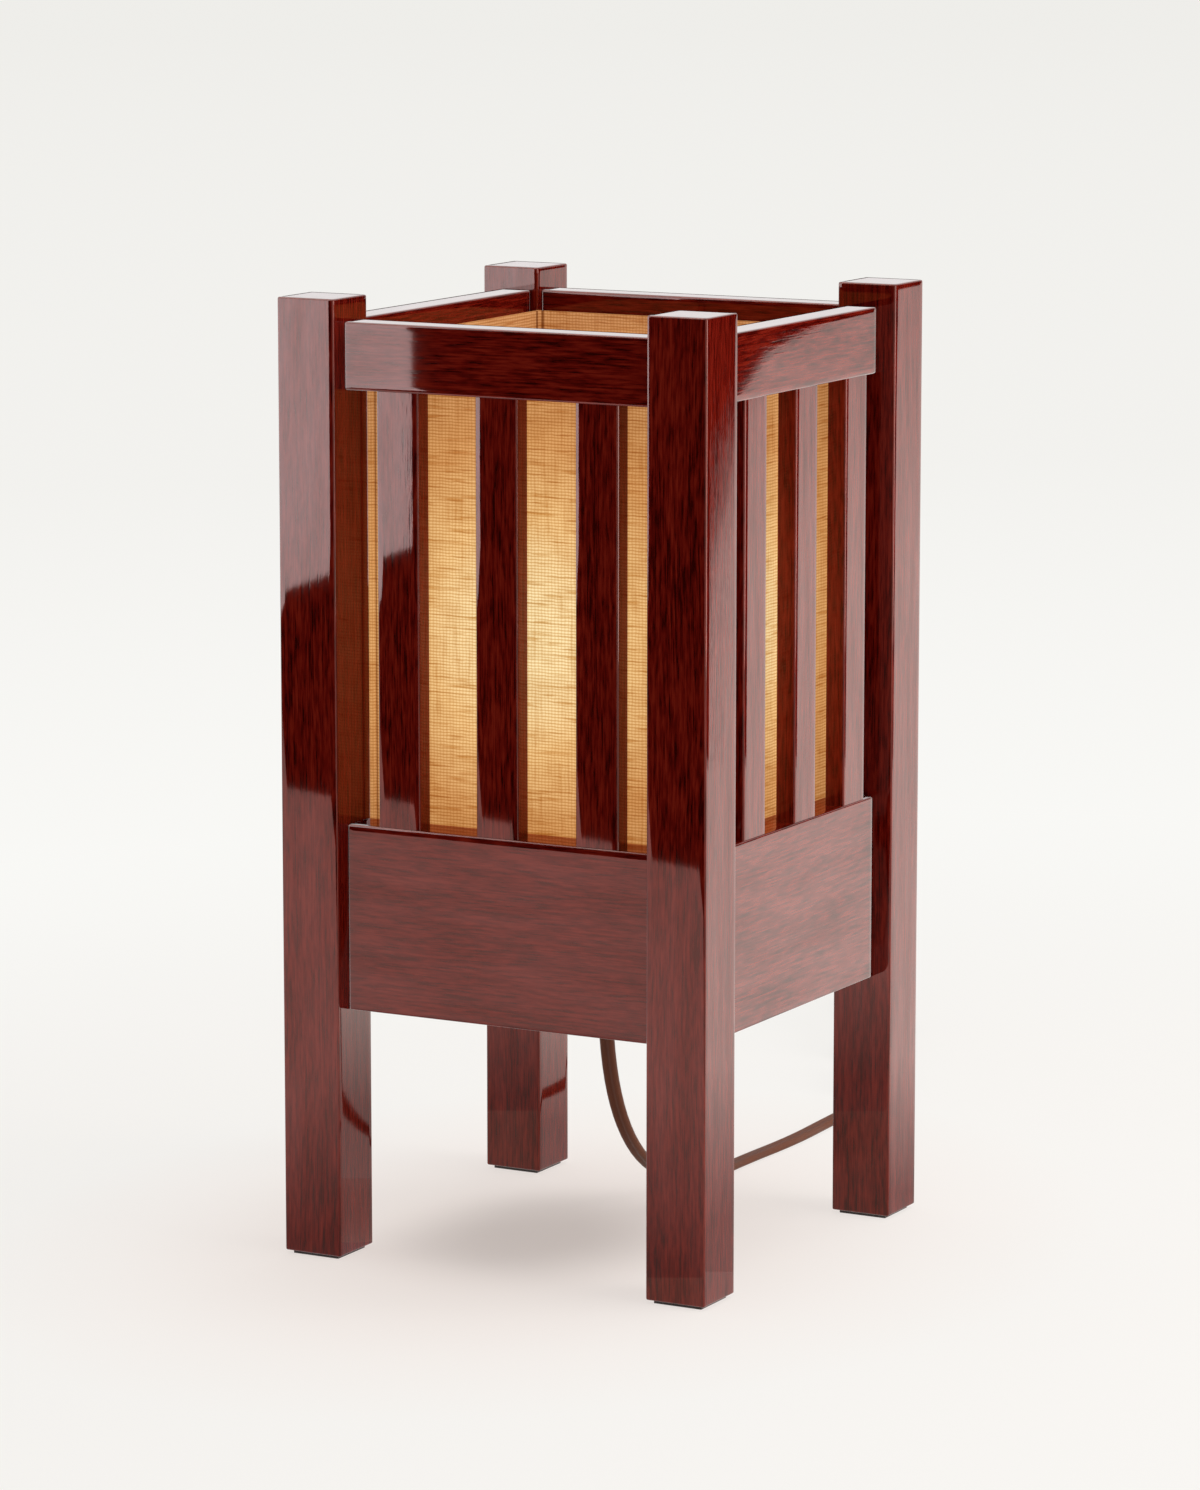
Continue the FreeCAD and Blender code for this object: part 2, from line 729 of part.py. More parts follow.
def cord_hank():
    """The rest of the flex: two layers of loops drawn in at the waist, from the switch to the plug."""
    stops = hank_stops()
    edges = []
    for (start, heading), (end, final) in zip(stops, stops[1:]):
        edges += biarc(start, heading, end, final)
    path = Part.Wire(edges)
    section = cord_section(stops[0][0], UP, Vector(0, 1, 0))
    tube = path.makePipeShell([section], True, False)
    area = Part.Face(section).Area
    print("cord_hank length", round(path.Length, 1), "least gap", round(least_gap(path), 2))
    print("cord_hank volume over section times length", round(tube.Volume / (area * path.Length), 4))
    return laid(tube)


def cord_tie():
    """The band round the hank's waist."""
    half_step = HANK_STEP / 2
    margin = CORD_THICKNESS / 2 + TIE_GAP
    low_y = HANK_DRAW - HANK_OUTER + half_step / 2 - margin
    high_y = HANK_OUTER - HANK_DRAW - half_step / 2 + margin
    low_z = hank_low - CORD_WIDTH / 2 - TIE_GAP
    high_z = hank_top + TIE_GAP
    low = (hank_middle - TIE_HALF_WIDTH, low_y, low_z)
    high = (hank_middle + TIE_HALF_WIDTH, high_y, high_z)
    wall = (0, TIE_THICKNESS, TIE_THICKNESS)
    outer = box([a - w for a, w in zip(low, wall)], [b + w for b, w in zip(high, wall)])
    return laid(outer.cut(box(low, high)))


def switch_box(low, high):
    """A block of the switch's outline between two heights."""
    body = box((SWITCH_START, -SWITCH_WIDTH / 2, low), (switch_end, SWITCH_WIDTH / 2, high))
    return body.makeFillet(SWITCH_CORNER, upright_edges(body))


def rim_edges(solid, height):
    """The edges of a solid that lie wholly at one height."""
    return [
        edge
        for edge in solid.Edges
        if max(abs(edge.BoundBox.ZMin - height), abs(edge.BoundBox.ZMax - height)) < 1e-6
    ]


switch_top = SWITCH_BASE_HEIGHT + SWITCH_COVER_HEIGHT
switch_middle = SWITCH_START + SWITCH_LENGTH / 2
wheel_middle = SWITCH_BASE_HEIGHT + WHEEL_RISE
wheel_low = wheel_middle - WHEEL_THICKNESS / 2
wheel_high = wheel_middle + WHEEL_THICKNESS / 2


def wheel_disc(radius, low, high):
    """A disc about the switch wheel's axle."""
    return cylinder(radius, low, high, x=switch_middle, y=-WHEEL_OFFSET)


def switch_screws(gap=0.0):
    """The two screws that hold the switch's halves together, from below."""
    screw = wood_screw(SWITCH_SCREW_LENGTH, gap, SWITCH_SCREW_SCALE)
    screw.rotate(Vector(0, 0, 0), Vector(1, 0, 0), 180)
    return [
        moved(screw, switch_middle + side * SWITCH_SCREW_X, side * SWITCH_SCREW_Y, 0)
        for side in (-1, 1)
    ]


def wheel_pocket():
    """The room for the wheel in the switch's two halves."""
    return wheel_disc(WHEEL_RADIUS + WHEEL_RIM_GAP, wheel_low - WHEEL_GAP, wheel_high + WHEEL_GAP)


def switch_base():
    """The lower half of the switch, with the wheel's axle."""
    body = switch_box(0, SWITCH_BASE_HEIGHT)
    body = body.makeFillet(SWITCH_EDGE, rim_edges(body, 0))
    body = body.cut([wheel_pocket()] + switch_screws(SCREW_GAP))
    return laid(fused(body, wheel_disc(AXLE_RADIUS, wheel_low - WHEEL_GAP, wheel_high)))


def switch_cover():
    """The upper half of the switch."""
    body = switch_box(SWITCH_BASE_HEIGHT, switch_top)
    body = body.makeFillet(SWITCH_EDGE, rim_edges(body, switch_top))
    return laid(body.cut([wheel_pocket()] + switch_screws(SCREW_GAP)))


def switch_wheel():
    """The notched thumbwheel."""
    body = wheel_disc(WHEEL_RADIUS, wheel_low, wheel_high)
    notches = []
    for n in range(WHEEL_NOTCHES):
        angle = 2 * math.pi * n / WHEEL_NOTCHES
        x = switch_middle + WHEEL_RADIUS * math.cos(angle)
        y = -WHEEL_OFFSET + WHEEL_RADIUS * math.sin(angle)
        notches.append(cylinder(WHEEL_NOTCH_RADIUS, wheel_low, wheel_high, x=x, y=y))
    bore = wheel_disc(AXLE_RADIUS + AXLE_GAP, wheel_low, wheel_high)
    return laid(body.cut(notches + [bore]))


def plug_section(x, width, thickness, corner):
    """A rounded rectangle across the plug."""
    half_y = width / 2
    half_z = thickness / 2
    turn = corner * (1 - math.sqrt(0.5))
    edges = []
    corners = ((1, 1), (-1, 1), (-1, -1), (1, -1))
    for n, (sy, sz) in enumerate(corners):
        ny, nz = corners[(n + 1) % 4]
        side = Vector(x, PLUG_LATERAL + sy * half_y, plug_centre_height + sz * (half_z - corner))
        flat = Vector(x, PLUG_LATERAL + sy * (half_y - corner), plug_centre_height + sz * half_z)
        round_y = PLUG_LATERAL + sy * (half_y - turn)
        round_middle = Vector(x, round_y, plug_centre_height + sz * (half_z - turn))
        arc_start, arc_end = (side, flat) if sy == sz else (flat, side)
        next_side = Vector(x, PLUG_LATERAL + ny * half_y, plug_centre_height + nz * (half_z - corner))
        next_flat = Vector(x, PLUG_LATERAL + ny * (half_y - corner), plug_centre_height + nz * half_z)
        next_start = next_side if ny == nz else next_flat
        edges.append(Part.Arc(arc_start, round_middle, arc_end).toShape())
        edges.append(Part.LineSegment(arc_end, next_start).toShape())
    return Part.Wire(edges)


plug_rear = hank_middle + PLUG_REAR
plug_neck = plug_rear - PLUG_RELIEF_LENGTH
plug_face = plug_neck - PLUG_LENGTH


def plug_blades(gap=0.0):
    """The plug's two flat blades; a gap makes the pockets that hold them."""
    tip = plug_face - BLADE_LENGTH
    blades = []
    for side in (-1, 1):
        y = PLUG_LATERAL + side * BLADE_SPACING / 2
        low = (tip, y - BLADE_THICKNESS / 2, plug_centre_height - BLADE_WIDTH / 2)
        high = (plug_face + BLADE_ROOT, y + BLADE_THICKNESS / 2, plug_centre_height + BLADE_WIDTH / 2)
        hole = Part.makeCylinder(
            BLADE_HOLE_RADIUS,
            BLADE_THICKNESS,
            Vector(tip + BLADE_HOLE_INSET, y - BLADE_THICKNESS / 2, plug_centre_height),
            Vector(0, 1, 0),
        )
        blades.append(grown(low, high, gap) if gap else box(low, high).cut(hole))
    return blades


def plug_body():
    """The moulded plug, with its tapered strain relief."""
    sections = [
        plug_section(plug_face, PLUG_WIDTH, PLUG_THICKNESS, PLUG_CORNER),
        plug_section(plug_neck - PLUG_TAPER, PLUG_WIDTH, PLUG_THICKNESS, PLUG_CORNER),
        plug_section(plug_neck, PLUG_NECK_WIDTH, PLUG_NECK_THICKNESS, PLUG_CORNER),
        plug_section(plug_rear, PLUG_RELIEF_WIDTH, PLUG_RELIEF_THICKNESS, PLUG_RELIEF_THICKNESS / 3),
    ]
    body = Part.makeLoft(sections, True, True)
    return laid(body.cut(plug_blades(BLADE_GAP)))


def pieces():
    """Every piece of the lamp by name."""
    made = {}
    for corner, (x_sign, y_sign) in CORNERS.items():
        made[f"post_{corner}"] = post(x_sign, y_sign)
    made["foot_pads"] = foot_pads()
    cleat_holes = cleat_screws(SCREW_GAP)
    for side, angle in SIDES.items():
        rail = cross_piece(rail_bottom, rail_top, RAIL_THICKNESS, RAIL_TENON_INSET, side)
        apron = cross_piece(LEG_CLEAR_HEIGHT, apron_top, APRON_THICKNESS, APRON_TENON_INSET, side)
        made[f"top_rail_{side}"] = turned(rail, angle)
        made[f"apron_{side}"] = turned(apron, angle).cut(cleat_holes)
        for n, place in enumerate(slat_places(side), 1):
            made[f"slat_{side}_{n}"] = turned(slat(place), angle)
        made[f"cleat_{side}"] = cleat(side)
    made["cleat_screws"] = Part.makeCompound(cleat_screws())
    made["base_board"] = base_board()
    made["board_screws"] = Part.makeCompound(board_screws())
    made["shade"] = shade()
    made["nipple"] = ring(NIPPLE_RADIUS, NIPPLE_BORE, nipple_bottom, board_top + NIPPLE_ABOVE)
    made["nipple_washer"] = ring(WASHER_RADIUS, NIPPLE_RADIUS + THREAD_GAP, washer_bottom, board_bottom)
    made["lock_nuts"] = Part.makeCompound([hexagon_nut(relief_top), hexagon_nut(board_top + HOLDER_FLOOR)])
    made["strain_relief"] = strain_relief()
    made["supply_leads"] = supply_leads()
    made["holder_cap"] = holder_cap()
    made["holder_core"] = holder_core()
    holder_inner = HOLDER_RADIUS - HOLDER_WALL
    made["holder_shell"] = ring(HOLDER_RADIUS, holder_inner, flange_top, flange_top + HOLDER_SHELL_HEIGHT)
    screw_shell_outer = screw_shell_inner + SCREW_SHELL_WALL
    made["screw_shell"] = ring(screw_shell_outer, screw_shell_inner, core_top, core_top + SCREW_SHELL_HEIGHT)
    made["centre_contact"] = cylinder(CONTACT_RADIUS, core_top, bulb_foot)
    made["bulb_tip"] = cylinder(BULB_TIP_RADIUS, bulb_foot, bulb_foot + BULB_TIP_HEIGHT)
    made["bulb_insulator"] = bulb_insulator()
    made["bulb_cap"] = bulb_cap()
    made["bulb_globe"] = bulb_globe()
    made["bulb_stem"] = bulb_stem()
    made["bulb_filament"] = filament()
    made["cord_run"] = cord_run()
    made["switch_base"] = switch_base()
    made["switch_cover"] = switch_cover()
    made["switch_wheel"] = switch_wheel()
    made["switch_screws"] = laid(Part.makeCompound(switch_screws()))
    made["cord_hank"] = cord_hank()
    made["cord_tie"] = cord_tie()
    made["plug_body"] = plug_body()
    made["plug_blades"] = laid(Part.makeCompound(plug_blades()))
    return made


os.makedirs("parts", exist_ok=True)
for name, shape in pieces().items():
    shape.exportStep(f"parts/{name}.step")
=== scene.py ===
"""A wooden lantern table lamp: lacquered wood, a lit linen shade, its bulb and holder, and a flat flex."""

import json
import math
from functools import cache

import bmesh
import bpy
from bpy.props import FloatProperty, FloatVectorProperty, IntProperty, PointerProperty
from mathutils import Matrix, Vector

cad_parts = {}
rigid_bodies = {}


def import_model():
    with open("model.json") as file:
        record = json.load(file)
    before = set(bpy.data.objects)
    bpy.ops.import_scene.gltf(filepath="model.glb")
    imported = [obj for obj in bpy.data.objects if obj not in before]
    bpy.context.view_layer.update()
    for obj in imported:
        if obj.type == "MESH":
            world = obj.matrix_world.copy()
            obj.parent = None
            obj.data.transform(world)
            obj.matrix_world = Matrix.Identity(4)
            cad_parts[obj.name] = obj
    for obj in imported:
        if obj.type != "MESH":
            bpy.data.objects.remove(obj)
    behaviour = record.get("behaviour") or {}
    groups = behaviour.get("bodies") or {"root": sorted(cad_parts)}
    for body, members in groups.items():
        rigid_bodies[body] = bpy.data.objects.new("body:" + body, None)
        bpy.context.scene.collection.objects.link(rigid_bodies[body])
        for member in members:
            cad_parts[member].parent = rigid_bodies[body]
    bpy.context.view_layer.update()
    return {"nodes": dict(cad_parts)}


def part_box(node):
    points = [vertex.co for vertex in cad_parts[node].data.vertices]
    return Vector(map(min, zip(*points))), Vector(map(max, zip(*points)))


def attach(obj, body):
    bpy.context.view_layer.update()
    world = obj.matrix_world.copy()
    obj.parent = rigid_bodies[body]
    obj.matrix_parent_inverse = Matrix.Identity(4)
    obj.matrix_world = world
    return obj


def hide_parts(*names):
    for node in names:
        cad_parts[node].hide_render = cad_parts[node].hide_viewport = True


bl_info = {
    "name": "Lantern Table Lamp",
    "version": (1, 0, 0),
    "blender": (4, 5, 0),
    "location": "View3D > Sidebar > Lantern",
    "description": "Finishes and soft pieces of a wooden lantern table lamp",
    "category": "Object",
}

for leftover in list(bpy.data.objects):
    bpy.data.objects.remove(leftover)

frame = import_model()
shade_low, shade_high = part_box("shade")
globe_low, globe_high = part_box("bulb_globe")

MM = 0.001
WHITE = (1.0, 1.0, 1.0)


# Settings


def colour(name, description, default):
    """A colour setting."""
    return FloatVectorProperty(
        name=name, description=description, default=default, subtype="COLOR", size=3, min=0.0, max=1.0
    )


def length(name, description, default):
    """A length setting, in metres."""
    return FloatProperty(name=name, description=description, default=default, unit="LENGTH", precision=5)


def amount(name, description, default):
    """A plain number setting."""
    return FloatProperty(name=name, description=description, default=default, min=0.0, precision=4)


def spot(name, description, default):
    """A place in the lamp's frame, in metres."""
    return FloatVectorProperty(
        name=name, description=description, default=default, subtype="XYZ", unit="LENGTH", precision=5
    )


class LanternWood(bpy.types.PropertyGroup):
    """The lacquered red wood of the frame and the plain wood under the shade."""

    edge: length("Edge Radius", "How round the edges of each block are", 0.8 * MM)
    shoulder: length("Shoulder", "How wide the strip is where a face turns towards its edge", 1.9 * MM)
    slat_end: length("Slat End", "How far a slat's block reaches into rail and apron", 3.0 * MM)
    deep: colour("Deep Tone", "The dark flecks of the red wood", (0.030, 0.0010, 0.0006))
    warm: colour("Warm Tone", "The middle tone of the red wood", (0.105, 0.0040, 0.0020))
    light: colour("Light Tone", "The lightest streaks of the red wood", (0.168, 0.0110, 0.0050))
    fleck: length("Fleck Width", "How wide one fleck of the grain is", 0.8 * MM)
    stretch: amount("Stretch", "How many times longer than wide a fleck is", 8.0)
    relief: length("Relief", "How deep the lacquer dips over the flecks", 0.004 * MM)
    gloss_index: amount("Lacquer Index", "The lacquer's index of refraction", 1.6)
    gloss_tint: colour("Lacquer Tint", "The warm tint of what the lacquer mirrors", (1.0, 0.47, 0.38))
    roughness: amount("Lacquer Roughness", "How much the lacquer blurs what it mirrors", 0.028)
    polish: amount("Polish", "How much clear polish lies over the light parts of the grain", 0.36)
    side_fineness: amount("Side Fineness", "How much finer the grain is on the upright pieces' sides", 2.4)
    board_deep: colour("Board Deep", "The dark grain of the base board", (0.030, 0.012, 0.006))
    board_warm: colour("Board Warm", "The middle tone of the base board", (0.085, 0.038, 0.018))
    board_light: colour("Board Light", "The light grain of the base board", (0.160, 0.080, 0.040))
    board_relief: length("Board Relief", "How deep the open grain of the base board is", 0.06 * MM)
    board_roughness: amount("Board Roughness", "How matt the base board is", 0.55)


class LanternLinen(bpy.types.PropertyGroup):
    """The woven shade and its glow."""

    thread: length("Thread Pitch", "The distance from one upright thread to the next", 1.5 * MM)
    wall: length("Wall", "The linen's thickness with its lining", 0.9 * MM)
    yarn: colour("Yarn", "The linen's own colour", (0.22, 0.125, 0.060))
    hot: colour("Hot Glow", "The glow beside the bulb", (0.90, 0.74, 0.425))
    warm: colour("Warm Glow", "The glow round the hot spot", (0.80, 0.525, 0.232))
    middle: colour("Middle Glow", "The glow half way out", (0.60, 0.303, 0.106))
    edge: colour("Edge Glow", "The glow in the far corners", (0.42, 0.200, 0.078))
    strength: amount("Glow Strength", "How strongly the linen glows", 1.10)
    web: colour("Web Tint", "What the threads let through beside the dots between them", (0.70, 0.56, 0.39))
    slub: colour("Slub Tint", "What a thick thread lets through of the light", (0.72, 0.55, 0.36))
    # The seam tint dims the glow along a line beside each corner: partly the doubled linen letting less light
    # through, partly painted shade of the seam's groove.
    seam: colour("Seam Tint", "What the doubled linen lets through at the corner seams", (0.42, 0.30, 0.20))
    # Painted reflection: this tint dims and reddens the glow only where the lacquer mirrors it.
    painted_reflection_tint: colour("Mirrored Tint", "What the red lacquer mirrors of the glow", (0.95, 0.50, 0.38))
    seam_place: length("Seam Place", "From each corner to its seam", 2.9 * MM)
    bead: length("Corner Bead", "The radius of the piping along each corner", 1.25 * MM)
    bead_inset: length("Bead Inset", "From the shade's sides in to the middle of the piping", 0.55 * MM)
    groove: length("Seam Groove", "How deep the seam beside each corner is", 0.45 * MM)
    sag: length("Inward Pull", "How far the linen draws in between the corners", 0.35 * MM)


class LanternBulb(bpy.types.PropertyGroup):
    """The bulb's screw cap and the shell that it screws into."""

    pitch: length("Thread Pitch", "How far one turn of the cap's thread rises", 3.629 * MM)
    thread_depth: length("Thread Depth", "How deep the cap's rolled thread is", 0.45 * MM)
    thread_steps: IntProperty(
        name="Thread Steps", description="Points along one wave of the thread", default=8, min=4
    )
    cap_wall: length("Cap Wall", "The cap's thickness", 0.1 * MM)
    shell_wall: length("Shell Wall", "The brass shell's thickness", 0.6 * MM)
    bead_depth: length("Bead Depth", "How deep the beads in the shell are pressed", 0.7 * MM)
    bead_half: length("Bead Half", "Half the width of a bead in the shell", 1.6 * MM)
    low_bead: length("Low Bead", "From the shell's foot to its lower bead", 5.0 * MM)
    high_bead: length("High Bead", "From the shell's top to its upper bead", 8.0 * MM)
    lip: length("Lip", "The radius of the shell's rolled lip", 1.8 * MM)


class LanternFlex(bpy.types.PropertyGroup):
    """The flat twin flex and what is on it."""

    width: length("Width", "Across both cores", 6.6 * MM)
    thickness: length("Thickness", "Across one core", 3.4 * MM)
    web: length("Web", "The thickness between the cores", 2.3 * MM)
    tone: colour("Flex", "The flex's brown covering", (0.118, 0.034, 0.014))
    plastic: colour("Plastic", "The switch and the plug", (0.085, 0.040, 0.022))
    dark_plastic: colour("Dark Plastic", "The thumbwheel", (0.020, 0.013, 0.010))
    webbing: colour("Webbing", "The tie round the hank", (0.030, 0.024, 0.021))
    tie_width: length("Tie Width", "How wide the tie is along the hank", 8.0 * MM)
    tie_reach: length("Tie Reach", "From the middle of the outer runs to the tie's outside", 3.3 * MM)
    tie_corner: length("Tie Corner", "The tie's outer corner radius", 3.0 * MM)
    tie_wall: length("Tie Wall", "The tie's thickness", 1.2 * MM)
    tie_thread: length("Tie Thread", "The pitch of the tie's weave", 0.8 * MM)


class LanternStage(bpy.types.PropertyGroup):
    """Camera, floor and studio light."""

    camera_place: spot("Camera", "Where the camera stands", (1.11987, -2.07046, 0.60021))
    camera_aim: spot("Aim", "What the camera looks at", (-0.00238, 0.0, 0.2032))
    lens: FloatProperty(
        name="Lens", description="Focal length on a 36 mm sensor", default=141.36, unit="CAMERA"
    )
    backdrop: colour("Backdrop", "The pale background", (0.893, 0.885, 0.858))
    floor: colour("Floor", "The pale floor", (0.86, 0.775, 0.72))
    # Painted shadow: a warm tint in the floor's glow right under the lamp, where its shadow falls.
    painted_warm_shadow: colour("Close Floor", "The floor's warm paleness under the lamp", (0.945, 0.865, 0.82))
    floor_glow: colour("Floor Glow", "The floor's paleness near the lamp", (0.945, 0.940, 0.915))
    far_floor: colour("Far Floor", "The floor far behind the lamp", (0.86, 0.852, 0.822))
    ambient: amount("Ambient", "The even light from all round", 0.28)
    overhead: amount("Overhead", "The large soft light above", 3.0)
    left_panel: amount("Left Panel", "The bright panel that the left front mirrors", 5.3)
    left_floor: amount("Left Floor", "The bright floor that the left front mirrors", 1.5)
    edge_panel: amount("Edge Panel", "The panel that the left edges mirror", 3.0)
    right_fill: amount("Right Fill", "The soft light from the right", 5.0)
    right_white: amount("Right White", "The white boards that the right side mirrors", 2.0)
    top_white: amount("Top White", "The white board that the tops mirror", 1.12)
    edge_light: amount("Edge Light", "The light above the left front that the upper edges mirror", 5.0)


# Node trees


def node(tree, kind, inputs=None, **settings):
    """Adds a node, sets its options, and sets or joins its inputs by name or number."""
    made = tree.nodes.new(kind)
    for option, value in settings.items():
        setattr(made, option, value)
    for key, value in (inputs or {}).items():
        socket = made.inputs[key]
        if isinstance(value, bpy.types.NodeSocket):
            tree.links.new(value, socket)
        elif socket.type == "RGBA" and len(value) == 3:
            socket.default_value = (*value, 1.0)
        else:
            socket.default_value = value
    return made


def calc(tree, operation, first, second=0.0, third=0.0):
    """A Math node's result."""
    return node(tree, "ShaderNodeMath", {0: first, 1: second, 2: third}, operation=operation).outputs[0]


def vector_calc(tree, operation, inputs, result="Vector"):
    """A Vector Math node's result."""
    return node(tree, "ShaderNodeVectorMath", inputs, operation=operation).outputs[result]


def scaled(tree, vector, factors):
    """A vector multiplied along each axis."""
    return vector_calc(tree, "MULTIPLY", {0: vector, 1: factors})


def split(tree, vector):
    """A vector's X, Y and Z."""
    return node(tree, "ShaderNodeSeparateXYZ", {0: vector}).outputs


def object_place(tree):
    """The object's own coordinates."""
    return tree.nodes.new("ShaderNodeTexCoord").outputs["Object"]


def noise(tree, vector, scale, detail=2.0, roughness=0.5):
    """A noise value from 0 to 1."""
    inputs = {"Vector": vector, "Scale": scale, "Detail": detail, "Roughness": roughness}
    return node(tree, "ShaderNodeTexNoise", inputs).outputs["Fac"]


def spread(tree, value, low, high, to_low=0.0, to_high=1.0, kind="LINEAR"):
    """A value mapped from one range to another, and held inside it."""
    inputs = {"Value": value, "From Min": low, "From Max": high, "To Min": to_low, "To Max": to_high}
    return node(tree, "ShaderNodeMapRange", inputs, interpolation_type=kind).outputs["Result"]


def blended(tree, factor, first, second, kind="MIX"):
    """Two colours mixed by a factor."""
    inputs = {0: factor, 6: first, 7: second}
    return node(tree, "ShaderNodeMix", inputs, data_type="RGBA", blend_type=kind).outputs[2]


SOCKETS = {"vector": "NodeSocketVector", "colour": "NodeSocketColor", "value": "NodeSocketFloat"}


def new_group(name, inputs, outputs):
    """An empty shader node group with named sockets, its inputs and its output node."""
    tree = bpy.data.node_groups.new(name, "ShaderNodeTree")
    for way, sockets in (("INPUT", inputs), ("OUTPUT", outputs)):
        for label, kind in sockets.items():
            tree.interface.new_socket(label, in_out=way, socket_type=SOCKETS[kind])
    start = tree.nodes.new("NodeGroupInput")
    end = tree.nodes.new("NodeGroupOutput")
    return tree, start.outputs, end


def send(tree, end, **results):
    """Joins results to a group's outputs or a shader's inputs; an underscore stands for a space."""
    for label, socket in results.items():
        tree.links.new(socket, end.inputs[label.replace("_", " ")])


def placed(tree, group, **inputs):
    """A group placed in a material, with its own values."""
    return node(tree, "ShaderNodeGroup", inputs, node_tree=group).outputs


def new_material(name):
    """A material with a Principled BSDF, its tree and the object's coordinates."""
    made = bpy.data.materials.new(name)
    made.use_nodes = True
    tree = made.node_tree
    return made, tree, tree.nodes["Principled BSDF"], object_place(tree)


def bare_tree(owner):
    """The emptied node tree of a material or a world."""
    owner.use_nodes = True
    owner.node_tree.nodes.clear()
    return owner.node_tree


def set_inputs(shader, **values):
    """Sets a shader's plain values; an underscore stands for a space."""
    for label, value in values.items():
        shader.inputs[label.replace("_", " ")].default_value = value


def bump(tree, shader, height, depth):
    """Feeds a height to a shader's normal."""
    made = node(tree, "ShaderNodeBump", {"Height": height, "Distance": depth})
    send(tree, shader, Normal=made.outputs["Normal"])


# Effects that several finishes share


@cache
def grain_group():
    """Flecked wood grain that runs along Z."""
    tree, given, end = new_group(
        "Flecked Grain",
        {"Vector": "vector", "Fleck": "value", "Stretch": "value"}
        | {"Deep": "colour", "Warm": "colour", "Light": "colour"},
        {"Color": "colour", "Gloss": "value", "Polish": "value", "Height": "value"},
    )
    dark = 0.38
    even = 0.50
    pale = 0.62
    sway = 6.0 * MM
    along = calc(tree, "DIVIDE", 1.0, given["Stretch"])
    squeeze = node(tree, "ShaderNodeCombineXYZ", {"X": 1.0, "Y": 1.0, "Z": along}).outputs[0]
    slow = scaled(tree, given["Vector"], (1.0, 1.0, 0.25))
    wander = node(tree, "ShaderNodeTexNoise", {"Vector": slow, "Scale": 22.0, "Detail": 1.0}).outputs["Color"]
    centred = vector_calc(tree, "SUBTRACT", {0: wander, 1: (0.5, 0.5, 0.5)})
    drift = scaled(tree, centred, (sway, sway, 0.0))
    grained = scaled(tree, vector_calc(tree, "ADD", {0: given["Vector"], 1: drift}), squeeze)
    density = calc(tree, "DIVIDE", 1.0, given["Fleck"])
    flecks = noise(tree, grained, calc(tree, "MULTIPLY", density, 0.62), 2.0, 0.55)
    streaks = noise(tree, scaled(tree, grained, (1.0, 1.0, 0.12)), calc(tree, "MULTIPLY", density, 1.6), 1.0)
    bands = noise(tree, scaled(tree, grained, (1.0, 1.0, 1.4)), calc(tree, "MULTIPLY", density, 0.085), 1.0)
    tone = calc(tree, "MULTIPLY_ADD", flecks, 0.54, calc(tree, "MULTIPLY", streaks, 0.32))
    tone = calc(tree, "MULTIPLY_ADD", bands, 0.14, tone)
    filled = calc(tree, "MULTIPLY_ADD", bands, 0.6, calc(tree, "MULTIPLY", tone, 0.4))
    body = blended(tree, spread(tree, tone, dark, even), given["Deep"], given["Warm"])
    send(
        tree,
        end,
        Color=blended(tree, spread(tree, tone, even, pale), body, given["Light"]),
        Gloss=spread(tree, tone, dark, pale, 1.3, 0.8),
        Polish=spread(tree, filled, 0.15, 0.85),
        Height=calc(tree, "MULTIPLY_ADD", streaks, 0.5, flecks),
    )
    return tree


@cache
def weave_group():
    """A plain weave: threads that pass over and under each other, light between them, and slubs in places."""
    tree, given, end = new_group(
        "Plain Weave",
        {"Across": "value", "Up": "value", "Pitch": "value"},
        {"Thread": "value", "Dot": "value", "Slub": "value", "Height": "value"},
    )
    turns = {"Across": calc(tree, "DIVIDE", math.pi, given["Pitch"])}
    turns["Up"] = calc(tree, "MULTIPLY", turns["Across"], 1.2)
    cloth = node(tree, "ShaderNodeCombineXYZ", {"X": given["Across"], "Y": given["Up"]}).outputs[0]
    uneven = calc(tree, "MULTIPLY", noise(tree, cloth, 240.0, 1.0), 1.7)
    waves = []
    for axis, turn in turns.items():
        waves.append(calc(tree, "SINE", calc(tree, "MULTIPLY_ADD", given[axis], turn, uneven)))
    warp = calc(tree, "ABSOLUTE", waves[0])
    weft = calc(tree, "ABSOLUTE", waves[1])
    over = spread(tree, calc(tree, "MULTIPLY", *waves), -0.6, 0.6)
    under = calc(tree, "MULTIPLY", weft, calc(tree, "SUBTRACT", 1.0, over))
    height = calc(tree, "MULTIPLY_ADD", warp, over, under)
    between = calc(tree, "MULTIPLY", weft, calc(tree, "MULTIPLY_ADD", warp, 0.6, 0.4))
    long_slubs = noise(tree, scaled(tree, cloth, (0.09, 1.0, 1.0)), 640.0, 1.0)
    tall_slubs = noise(tree, scaled(tree, cloth, (1.0, 0.09, 1.0)), 420.0, 1.0)
    clouds = noise(tree, scaled(tree, cloth, (0.7, 1.0, 1.0)), 95.0, 2.0)
    slub = spread(tree, long_slubs, 0.57, 0.75)
    slub = calc(tree, "MULTIPLY_ADD", spread(tree, tall_slubs, 0.56, 0.76), 0.45, slub)
    slub = calc(tree, "MULTIPLY_ADD", spread(tree, clouds, 0.42, 0.70), 0.35, slub)
    send(
        tree,
        end,
        Thread=height,
        Dot=spread(tree, between, 0.15, 0.8),
        Slub=slub,
        Height=calc(tree, "MULTIPLY_ADD", slub, 0.4, height),
    )
    return tree


